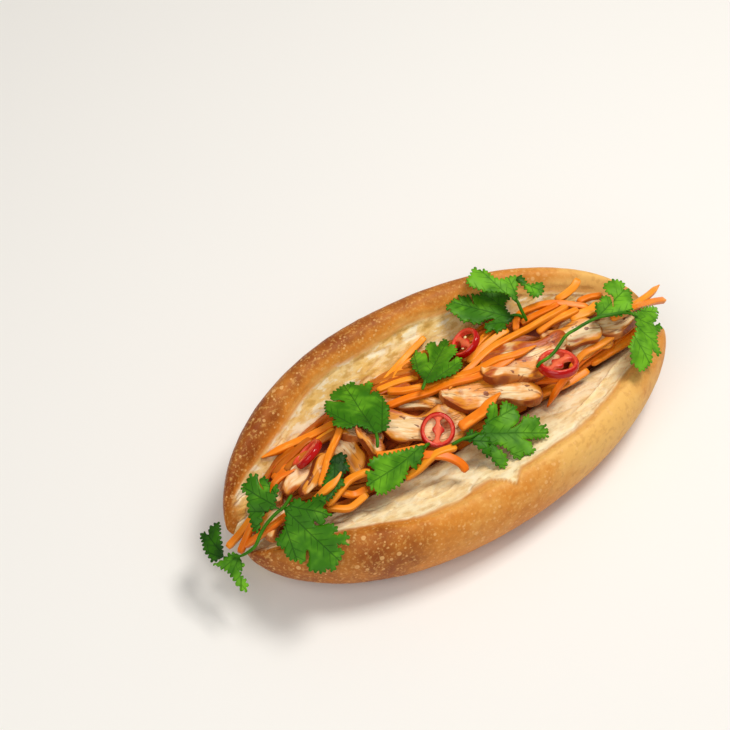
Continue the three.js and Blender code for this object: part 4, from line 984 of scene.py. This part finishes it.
def leaf_body(leaf, tops, seed):
    outline, level, slope = leaf[:3]
    points, faces = leaf_sheet(outline, seed)
    sides = [(f[i], f[(i + 1) % 3]) for f in faces for i in range(3)]
    pairs = np.unique(np.sort(sides, axis=1), axis=0)
    pairs = np.vstack([pairs, pairs[:, ::-1]])
    away = points - outline[0]
    centre = points.mean(axis=0) - outline[0]
    axis = centre / np.linalg.norm(centre)
    u, v = away @ axis, away @ np.array([-axis[1], axis[0]])
    length = max(u)
    heights = level + away @ np.array(slope)
    flat = np.stack([u, v, np.full_like(u, seed * 3.0)], axis=1)
    bearing = np.arctan2(v, u + VEIN_START * length)
    span = np.clip(np.hypot(u, v) / length, 0, 1)
    ripple = LEAF_RIPPLE * np.cos(bearing * 2 * np.pi / VEIN_ANGLE + np.pi)
    heights += span * (ripple + relief(flat, FOLD, seed) + relief(flat, SMALL_FOLD, seed + 1))
    heights -= LEAF_DROOP * span ** 2 * (v / length) ** 2
    needed = np.array([tops.at(x, y) for x, y in points]) + LEAF_GAP - heights
    lift = np.maximum(needed, 0)
    for _ in range(40):
        lift = np.maximum(needed, evened(lift, pairs))
    count = len(points)
    lower = np.column_stack([points, heights + lift])
    directed = set(sides)
    walls = [(a, b, b + count, a + count) for a, b in directed if (b, a) not in directed]
    body = [tuple(i + count for i in f) for f in faces] + [f[::-1] for f in faces] + walls
    where = np.stack([np.tile(u, 2), np.tile(v, 2), np.full(2 * count, length)], axis=1)
    return np.vstack([lower, lower + (0, 0, LEAF_THICK)]), body, where


def stalk_body(line, tops):
    """A thin round bar, lifted over what it would cut and finer towards its last end."""
    spine = spaced(catmull(line, 10), max(4, round(length_of(np.array(line)) / 2)))
    needed = np.array([tops.at(x, y) for x, y in spine[:, :2]]) + STALK_RADIUS + 0.1 - spine[:, 2]
    lift = np.maximum(needed, 0)
    for _ in range(12):
        lift[1:-1] = np.maximum(needed[1:-1], (lift[:-2] + lift[2:]) / 2)
    spine[:, 2] += np.minimum(lift, STALK_LIFT)
    verts, faces, run, _ = swept(spine, 10, STALK_RADIUS, STALK_RADIUS, 1.0)
    centre = catmull(spine, 5)
    nearest = np.array([centre[np.argmin(lengths(centre - p))] for p in verts])
    thin = 1 - 0.4 * smoothstep(0.75, 1.0, run / run.max())
    return nearest + (verts - nearest) * thin[:, None], faces


# ---- materials ----
NOISE_ROUGHNESS = 0.55
EVEN = (1, 1, 1)


def linear(color):
    """A colour given as it looks on screen, 0 to 255, as linear light."""
    return tuple(((c / 255 + 0.055) / 1.055) ** 2.4 if c > 10 else c / 255 / 12.92 for c in color) + (1.0,)


class Nodes:
    """Short hand for one material's node tree. Colours are given as they look on screen."""

    def __init__(self, name):
        self.material = bpy.data.materials.new(name)
        self.material.use_nodes = True
        self.tree = self.material.node_tree
        self.shader = next(n for n in self.tree.nodes if n.type == "BSDF_PRINCIPLED")
        self.place = self.new("ShaderNodeTexCoord").outputs["Object"]

    def new(self, kind, **settings):
        node = self.tree.nodes.new(kind)
        for key, value in settings.items():
            setattr(node, key, value)
        return node

    def put(self, socket, value):
        if isinstance(value, bpy.types.NodeSocket):
            self.tree.links.new(value, socket)
        else:
            socket.default_value = linear(value) if isinstance(value, tuple) else value

    def attribute(self, name, output="Fac"):
        return self.new("ShaderNodeAttribute", attribute_name=name).outputs[output]

    def attributes(self, *names):
        return [self.attribute(name) for name in names]

    def parts(self, vector):
        split = self.new("ShaderNodeSeparateXYZ")
        self.put(split.inputs[0], vector)
        return split.outputs

    def math(self, operation, a, b=0.0):
        node = self.new("ShaderNodeMath", operation=operation)
        self.put(node.inputs[0], a)
        self.put(node.inputs[1], b)
        return node.outputs[0]

    def plus(self, a, b):
        return self.math("ADD", a, b)

    def minus(self, a, b):
        return self.math("SUBTRACT", a, b)

    def times(self, a, b):
        return self.math("MULTIPLY", a, b)

    def around(self, value, middle, factor):
        return self.times(self.minus(value, middle), factor)

    def noise(self, size_mm, detail, stretch=EVEN, vector=None):
        mapping = self.new("ShaderNodeMapping")
        self.put(mapping.inputs["Vector"], vector or self.place)
        mapping.inputs["Scale"].default_value = stretch
        node = self.new("ShaderNodeTexNoise")
        self.put(node.inputs["Vector"], mapping.outputs[0])
        node.inputs["Scale"].default_value = (1 if vector else 1 / MM) / size_mm
        node.inputs["Detail"].default_value = detail
        node.inputs["Roughness"].default_value = NOISE_ROUGHNESS
        return node.outputs["Fac"]

    def span(self, value, low, high, to_low=0.0, to_high=1.0):
        node = self.new("ShaderNodeMapRange", clamp=True, interpolation_type="SMOOTHSTEP")
        self.put(node.inputs["Value"], value)
        for key, number in zip(("From Min", "From Max", "To Min", "To Max"), (low, high, to_low, to_high)):
            node.inputs[key].default_value = number
        return node.outputs["Result"]

    def mix(self, share, a, b):
        node = self.new("ShaderNodeMix", data_type="RGBA")
        for socket, value in zip((node.inputs["Factor"], node.inputs[6], node.inputs[7]), (share, a, b)):
            self.put(socket, value)
        return node.outputs[2]

    def layers(self, color, *coats):
        """A colour with others laid over it, each by a share times a strength."""
        for share, strength, other in coats:
            color = self.mix(self.times(share, strength), color, other)
        return color

    def patches(self, size_mm, detail, low, high, stretch=EVEN, vector=None):
        return self.span(self.noise(size_mm, detail, stretch, vector), low, high)

    def dots(self, size_mm, smallest, largest):
        """Round spots, one to a cell, of uneven size."""
        node = self.new("ShaderNodeTexVoronoi", feature="F1")
        self.put(node.inputs["Vector"], self.place)
        node.inputs["Scale"].default_value = 1 / MM / size_mm
        pick = self.new("ShaderNodeSeparateColor")
        self.put(pick.inputs[0], node.outputs["Color"])
        radius = self.span(pick.outputs[0], 0.3, 1.0, smallest, largest)
        return self.span(self.minus(node.outputs["Distance"], radius), 0.02, -0.07)

    def bump(self, height, distance_mm, strength):
        node = self.new("ShaderNodeBump")
        self.put(node.inputs["Height"], height)
        node.inputs["Strength"].default_value = strength
        node.inputs["Distance"].default_value = distance_mm * MM
        self.put(self.shader.inputs["Normal"], node.outputs[0])

    def finish(self, color, roughness, specular=0.5):
        for key, value in (("Base Color", color), ("Roughness", roughness), ("Specular IOR Level", specular)):
            self.put(self.shader.inputs[key], value)
        return self.material


def bread_material():
    m = Nodes("bread")
    crust, spot, ridge, pore, bake, edge, shade = m.attributes(
        "crust", "spot", "ridge", "pore", "bake", "edge", "shade")
    fine = m.noise(1.5, 3)
    tone = m.plus(m.times(bake, 0.85), m.around(m.noise(8, 5), 0.5, 0.55))
    blister = m.math("MAXIMUM", m.dots(3.6, -0.15, 0.34), m.times(m.dots(1.9, -0.1, 0.36), 0.85))
    blister = m.times(blister, m.span(m.times(spot, m.plus(fine, 0.5)), 0.2, 0.8))
    pale, golden, brown = (244, 190, 104), (222, 140, 50), (138, 62, 10)
    crust_color = m.mix(m.span(tone, 0.42, 1.0), m.mix(m.span(tone, 0.0, 0.5), pale, golden), brown)
    sheen, freckle, blister_color = (248, 196, 110), (176, 92, 24), (250, 196, 124)
    crust_color = m.layers(crust_color, (m.span(fine, 0.5, 0.7), 0.4, sheen),
                           (m.patches(3.2, 4, 0.5, 0.36), 0.2, freckle), (blister, 0.6, blister_color))
    # The crumb: cream, with white ridges, tan hollows and pores, the pores painted darker as painted shade in them.
    along = (0.6, 1, 1)
    cream, butter, white, tan, pore_shade = (
        (255, 234, 182), (246, 204, 126), (255, 244, 214), (232, 182, 104), (196, 138, 66))
    crumb_color = m.layers(m.mix(m.patches(8, 4, 0.35, 0.68, along), cream, butter), (ridge, 0.5, white),
                           (m.patches(2.4, 3, 0.5, 0.36, along), 0.55, tan), (pore, 0.75, pore_shade))
    # Painted light and shade: the front half's crumb is painted paler, and the back one's darker and more yellow, as
    # it lies in shade.
    crumb_color = m.mix(m.span(shade, 0.0, 1.0, 0.25, 0.0), crumb_color, (255, 246, 214))
    # Painted shade on the back half; then tan hollows, and white patches that are painted highlights, which show most
    # on the back half.
    lumps, show = m.noise(4, 4, (0.45, 1, 1)), m.plus(0.3, m.times(shade, 0.4))
    crumb_color = m.layers(crumb_color, (shade, 0.4, (230, 186, 98)),
                           (m.span(lumps, 0.53, 0.65), show, (204, 156, 70)),
                           (m.span(lumps, 0.48, 0.37), show, (255, 246, 216)))
    color = m.layers(m.mix(crust, crumb_color, crust_color), (edge, 0.6, (184, 108, 36)))
    grain = m.plus(m.times(m.noise(1.1, 4), 0.6), m.times(m.noise(0.35, 2), 0.3))
    m.bump(m.plus(grain, m.times(m.times(blister, crust), 0.35)), 0.5, 0.55)
    return m.finish(color, m.minus(0.92, m.times(crust, 0.4)), m.plus(0.08, m.times(crust, 0.16)))


def carrot_material():
    m = Nodes("carrot")
    deep, bright, glint, groove, underside_shade = (242, 116, 4), (255, 158, 30), (255, 196, 84), (226, 94, 2), (136, 40, 2)
    streak = m.noise(0.9, 3, (0.1, 1, 1), m.attribute("run", "Vector"))
    level = m.plus(m.times(m.attribute("tone"), 0.6), m.times(m.noise(9, 2), 0.4))
    # The last coat is painted shade: darker on the strips' lower sides and on the strips sunk in the heap.
    color = m.layers(m.mix(m.span(level, 0.2, 0.8), deep, bright), (m.span(streak, 0.54, 0.72), 0.5, glint),
                     (m.span(streak, 0.46, 0.28), 0.4, groove), (m.attribute("dark"), 0.75, underside_shade))
    m.bump(streak, 0.2, 0.5)
    return m.finish(color, 0.38, 0.28)


def core_material():
    m = Nodes("carrot_core_painted_shade")
    along = (0.2, 1, 1)
    m.bump(m.noise(2.5, 3, along), 1.0, 0.6)
    # Painted shade: the core is dark orange-brown, standing for the carrots deep in the heap, in shade.
    return m.finish(m.mix(m.patches(5, 3, 0.42, 0.62, along), (104, 34, 6), (186, 78, 10)), 0.6, 0.2)


def chicken_material():
    m = Nodes("chicken")
    local = m.attribute("local", "Vector")
    face, groove, rim, brown = m.attributes("face", "groove", "rim", "brown")
    fibre = m.noise(1.1, 3, (0.12, 1, 0.3), local)
    broad = m.noise(9, 3, (0.6, 1, 0.3), local)
    # Golden where it browned, in uneven patches, most along the edge that lies higher.
    upper = m.span(m.parts(local)[1], 0.5, 6.0)
    gold = m.plus(m.times(m.span(rim, 3.0, 0.2), 0.25), m.around(broad, 0.5, 4.0))
    gold = m.plus(gold, m.times(upper, 0.45))
    sear = m.around(m.noise(7, 3, (0.5, 1, 0.4), local), 0.58, 5.0)
    sear = m.plus(sear, m.times(brown, m.plus(0.35, m.times(upper, 0.6))))
    cooked, warm, rosy = (250, 222, 172), (238, 188, 118), (236, 160, 118)
    golden, seared = (230, 142, 14), (176, 66, 6)
    color = m.layers(m.mix(m.span(fibre, 0.35, 0.68), cooked, warm),
                     (m.patches(11, 2, 0.52, 0.68, (0.7, 1, 0.3), local), 0.3, rosy),
                     (m.span(gold, -0.1, 0.45), 0.95, golden), (m.span(sear, 0.0, 0.7), 0.9, seared))
    # The skin round the cut faces, fine brown lines along the fibres, a few char spots, and the tears painted darker
    # as painted shade in their dents.
    skin = m.minus(1.0, face)
    lines = m.math("ABSOLUTE", m.minus(m.noise(4.5, 2, (0.12, 1, 0.3), local), 0.5))
    lines = m.span(lines, 0.016, 0.004)
    skin_color, crisp, line_color, char_color, tear_shade = (
        (200, 112, 34), (146, 60, 14), (150, 76, 28), (120, 46, 10), (160, 84, 36))
    color = m.layers(color, (m.span(skin, 0.15, 0.7), 0.9, skin_color),
                     (m.span(skin, 0.9, 1.0), m.span(broad, 0.42, 0.56), crisp), (lines, 0.6, line_color),
                     (m.patches(3.4, 2, 0.65, 0.7, (0.7, 1, 0.3), local), 0.85, char_color),
                     (groove, 0.7, tear_shade))
    m.bump(m.plus(fibre, m.times(lines, -0.6)), 0.4, 0.6)
    return m.finish(color, 0.38, 0.35)


def chili_material():
    m = Nodes("chili")
    part, depth = m.attributes("part", "depth")
    flesh = m.layers(m.mix(m.span(depth, 0.1, 0.95), (206, 14, 8), (234, 76, 50)),
                     (m.patches(1.4, 3, 0.5, 0.72), 0.5, (250, 136, 100)))
    core = m.plus(depth, m.times(m.noise(1.6, 2), 0.6))
    web = m.mix(m.span(core, 0.6, 1.4), (204, 34, 20), (246, 116, 74))
    color = (184, 6, 4)
    # From one part's number to the next, the colour changes to that of the next.
    for low, high, other in ((0.2, 0.8, flesh), (1.4, 1.6, web), (2.4, 2.6, (250, 226, 160))):
        color = m.mix(m.span(part, low, high), color, other)
    m.bump(m.noise(0.9, 2), 0.2, 0.35)
    return m.finish(color, m.span(part, 0.2, 0.8, 0.14, 0.3), 0.45)


def leaf_material():
    m = Nodes("cilantro")
    tone = m.attribute("tone")
    u, v, length = m.parts(m.attribute("where", "Vector"))
    u = m.plus(u, m.times(length, VEIN_START))
    radius = m.math("SQRT", m.plus(m.times(u, u), m.times(v, v)))
    # Main veins run out from the base, side veins branch off them.
    turn = m.plus(m.times(m.math("ARCTAN2", v, u), 1 / VEIN_ANGLE), 100.5)
    off = m.math("ABSOLUTE", m.minus(m.math("FRACT", turn), 0.5))
    gap = m.times(m.times(off, VEIN_ANGLE), radius)
    branch = m.math("FRACT", m.times(m.minus(radius, m.times(gap, 1.1)), 1 / SIDE_VEIN_GAP))
    side = m.span(m.math("ABSOLUTE", m.minus(branch, 0.5)), 0.03, 0.085, 1.0, 0.0)
    side = m.times(side, m.span(gap, 4.6, 2.2))
    vein = m.math("MAXIMUM", m.span(gap, 0.12, 0.34, 1.0, 0.0), m.times(side, 0.7))
    # tone is partly painted shade: leaves that lie low or under others are painted darkest.
    level = m.plus(m.times(tone, 0.42), m.around(m.noise(8, 2), 0.5, 1.1))
    level = m.plus(level, m.span(m.math("DIVIDE", radius, length), 0.0, 0.7, -0.16, 0.14))
    darkest, green, lime = (24, 62, 8), (54, 114, 6), (114, 182, 32)
    dark_vein, light_vein = (18, 58, 8), (48, 104, 18)
    color = m.mix(m.span(level, 0.0, 0.55), m.mix(m.span(level, -0.55, 0.0), darkest, green), lime)
    color = m.layers(color, (vein, 0.62, m.mix(m.span(tone, -0.4, 0.4), dark_vein, light_vein)))
    m.bump(m.minus(m.times(m.noise(0.9, 2), 0.2), vein), 0.35, 0.7)
    return m.finish(color, 0.45, 0.16)


# ---- building ----
# A stalk takes the leaves' material, far from any vein.
STALK_TONE = -0.3
NO_VEIN = (0.0, 400.0, 30.0)


def dress(obj, material, slot, *nodes):
    obj.data.materials.append(material)
    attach(obj, "root")
    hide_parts(*nodes)


def build_bread():
    joined = Joined()
    bread_half(FRONT_HALF, joined, True)
    bread_half(BACK_HALF, joined, False)
    dress(joined.make("bread_roll"), bread_material(), "bread", "bread")


def build_carrots(firm, everything):
    core = core_mesh(CORE_SINK)
    soft = Tops()
    soft.add(*core)
    everything.add(*core)
    rng = np.random.default_rng(7)
    joined = Joined()

    # deep: how much painted shade a whole strip gets, for the strips sunk in the heap.
    def add(line, wide, point, twist, deep=0.0):
        verts, faces, run, turn = swept(line, STRIP_SIDES, STRIP_WIDTH * wide / 2 * rng.uniform(0.9, 1.06),
                                        STRIP_THICK / 2 * rng.uniform(0.9, 1.05), STRIP_SQUARENESS, point, twist)
        where = np.stack([run, 3 * np.cos(turn), 3 * np.sin(turn) + 20 * len(joined.verts)], axis=1)
        # Painted shade: each strip's lower side is painted darker, and a sunk strip all over by deep.
        dark = np.maximum(deep, smoothstep(0.3, -0.8, np.sin(turn)))
        joined.add(verts, faces, tone=rng.uniform(0, 1), run=where, dark=dark)
        everything.add(verts, faces)
        return verts, faces

    # The strips sunk in the heap's skin are painted in shade all over.
    for _ in range(UNDER_STRIPS):
        line, turns = under_strip(rng)
        add(line, 1, 0, lambda n: np.interp(np.linspace(0, 1, n), np.linspace(0, 1, len(turns)), turns), 0.75)
    for path, wide, point in STRIPS:
        phase, swing = rng.uniform(0, 6), rng.uniform(0.1, 0.4)
        for line in outside_rings(strip_spine(path, firm, soft)):
            soft.add(*add(line, wide, point, lambda n: swing * np.sin(np.linspace(0, 3, n) + phase)))
    dress(joined.make("carrot_strips"), carrot_material(), "carrot", "carrot_heap")
    dress(make_object("carrot_core_painted_shade", *core), core_material(), "carrot", "carrot_heap")


def build_sprig(number, tops, material):
    sprig = SPRIGS[number - 1]
    joined = Joined()
    for j, leaf in enumerate(sprig["leaves"]):
        verts, faces, where = leaf_body(leaf, tops, 10 * number + j)
        joined.add(verts, faces, where=where, tone=leaf[3])
        tops.add(verts, faces)
    for line in sprig["stalks"]:
        verts, faces = stalk_body(line, tops)
        joined.add(verts, faces, where=np.tile(NO_VEIN, (len(verts), 1)), tone=STALK_TONE)
        tops.add(verts, faces)
    dress(joined.make(f"cilantro_sprig_{number}"), material, "cilantro", f"cilantro_{number}")
    return joined


def build_filling():
    """The pieces one after another, each on what already lies there; the last sprig is under the strips."""
    under, firm, everything = Tops(), Tops(), Tops()
    under.add(*core_mesh(CHICKEN_SINK))
    bread = node_mesh("bread")
    for tops in (under, firm, everything):
        tops.add(*bread)
    material = chicken_material()
    for i, item in enumerate(CHICKEN):
        verts, faces, values = chicken_slice(item, under, 200 + 10 * i)
        for tops in (under, firm, everything):
            tops.add(verts, faces)
        dress(make_object(f"chicken_slice_{i + 1}", verts, faces, values), material, "chicken", f"chicken_{i + 1}")
    leaves = leaf_material()
    tucked = build_sprig(len(SPRIGS), everything, leaves)
    firm.add(np.vstack(tucked.verts), tucked.faces)
    build_carrots(firm, everything)
    material = chili_material()
    for i, item in enumerate(CHILI):
        ring = chili_ring(item, i + 1)
        everything.add(np.vstack(ring.verts), ring.faces)
        dress(ring.make(f"chili_ring_{i + 1}"), material, "chili", f"chili_{i + 1}")
    for number in range(1, len(SPRIGS)):
        build_sprig(number, everything, leaves)


# ---- stage ----
VIEW_AZIMUTH, VIEW_ELEVATION = math.radians(-33), math.radians(53)
LENS, SENSOR, PICTURE = 85.0, 36.0, 730
PIXELS_PER_MM = 2.0
ORIGIN_PIXEL = (455.0, 451.4)  # where the frame's origin shows in the picture
FLOOR_HALF, FLOOR_DROP = 3000, 0.0002
LIGHTS_AIM = Vector((0, 0, 0.03))
WORLD_COLOR, WORLD_STRENGTH = (1.0, 0.99, 0.97, 1), 0.26


def add_camera():
    back = np.array([math.sin(VIEW_AZIMUTH) * math.cos(VIEW_ELEVATION),
                     -math.cos(VIEW_AZIMUTH) * math.cos(VIEW_ELEVATION), math.sin(VIEW_ELEVATION)])
    right = np.array([math.cos(VIEW_AZIMUTH), math.sin(VIEW_AZIMUTH), 0.0])
    up = np.cross(back, right)
    focal = LENS / SENSOR * PICTURE
    ray = -back * focal + right * (ORIGIN_PIXEL[0] - PICTURE / 2) + up * (PICTURE / 2 - ORIGIN_PIXEL[1])
    place = ray * back[2] * focal / PIXELS_PER_MM / ray[2]
    data = bpy.data.cameras.new("camera")
    data.lens, data.sensor_width = LENS, SENSOR
    data.clip_start, data.clip_end = 0.01, 20
    camera = link("camera", data)
    camera.matrix_world = Matrix([*zip(right, up, back, place * MM), (0, 0, 0, 1)])
    bpy.context.scene.camera = camera
    return Vector(right), Vector(up), Vector(back)


def add_light(name, place, size, power, color):
    data = bpy.data.lights.new(name, "AREA")
    data.size, data.energy, data.color = size, power, color
    light = link(name, data)
    light.location = place
    light.rotation_euler = (LIGHTS_AIM - place).to_track_quat("-Z", "Y").to_euler()


def add_stage():
    right, up, back = add_camera()
    corners = [(-1, -1, 0), (1, -1, 0), (1, 1, 0), (-1, 1, 0)]
    floor = make_object("floor", np.array(corners) * FLOOR_HALF, [(0, 1, 2, 3)])
    floor.location.z = -FLOOR_DROP
    floor.data.materials.append(Nodes("floor").finish((246, 244, 240), 0.9))
    add_light("key", right * 0.4 + up * 0.35 + Vector((0, 0, 0.85)), 0.4, 8.6, (1, 0.97, 0.92))
    add_light("fill", back * 1.1 - right * 0.35, 0.9, 5.2, (1, 0.98, 0.96))
    world = bpy.data.worlds.new("world")
    bpy.context.scene.world = world
    world.use_nodes = True
    background = next(n for n in world.node_tree.nodes if n.type == "BACKGROUND")
    background.inputs["Color"].default_value = WORLD_COLOR
    background.inputs["Strength"].default_value = WORLD_STRENGTH
    bpy.context.scene.view_settings.view_transform = "Standard"


build_bread()
build_filling()
add_stage()
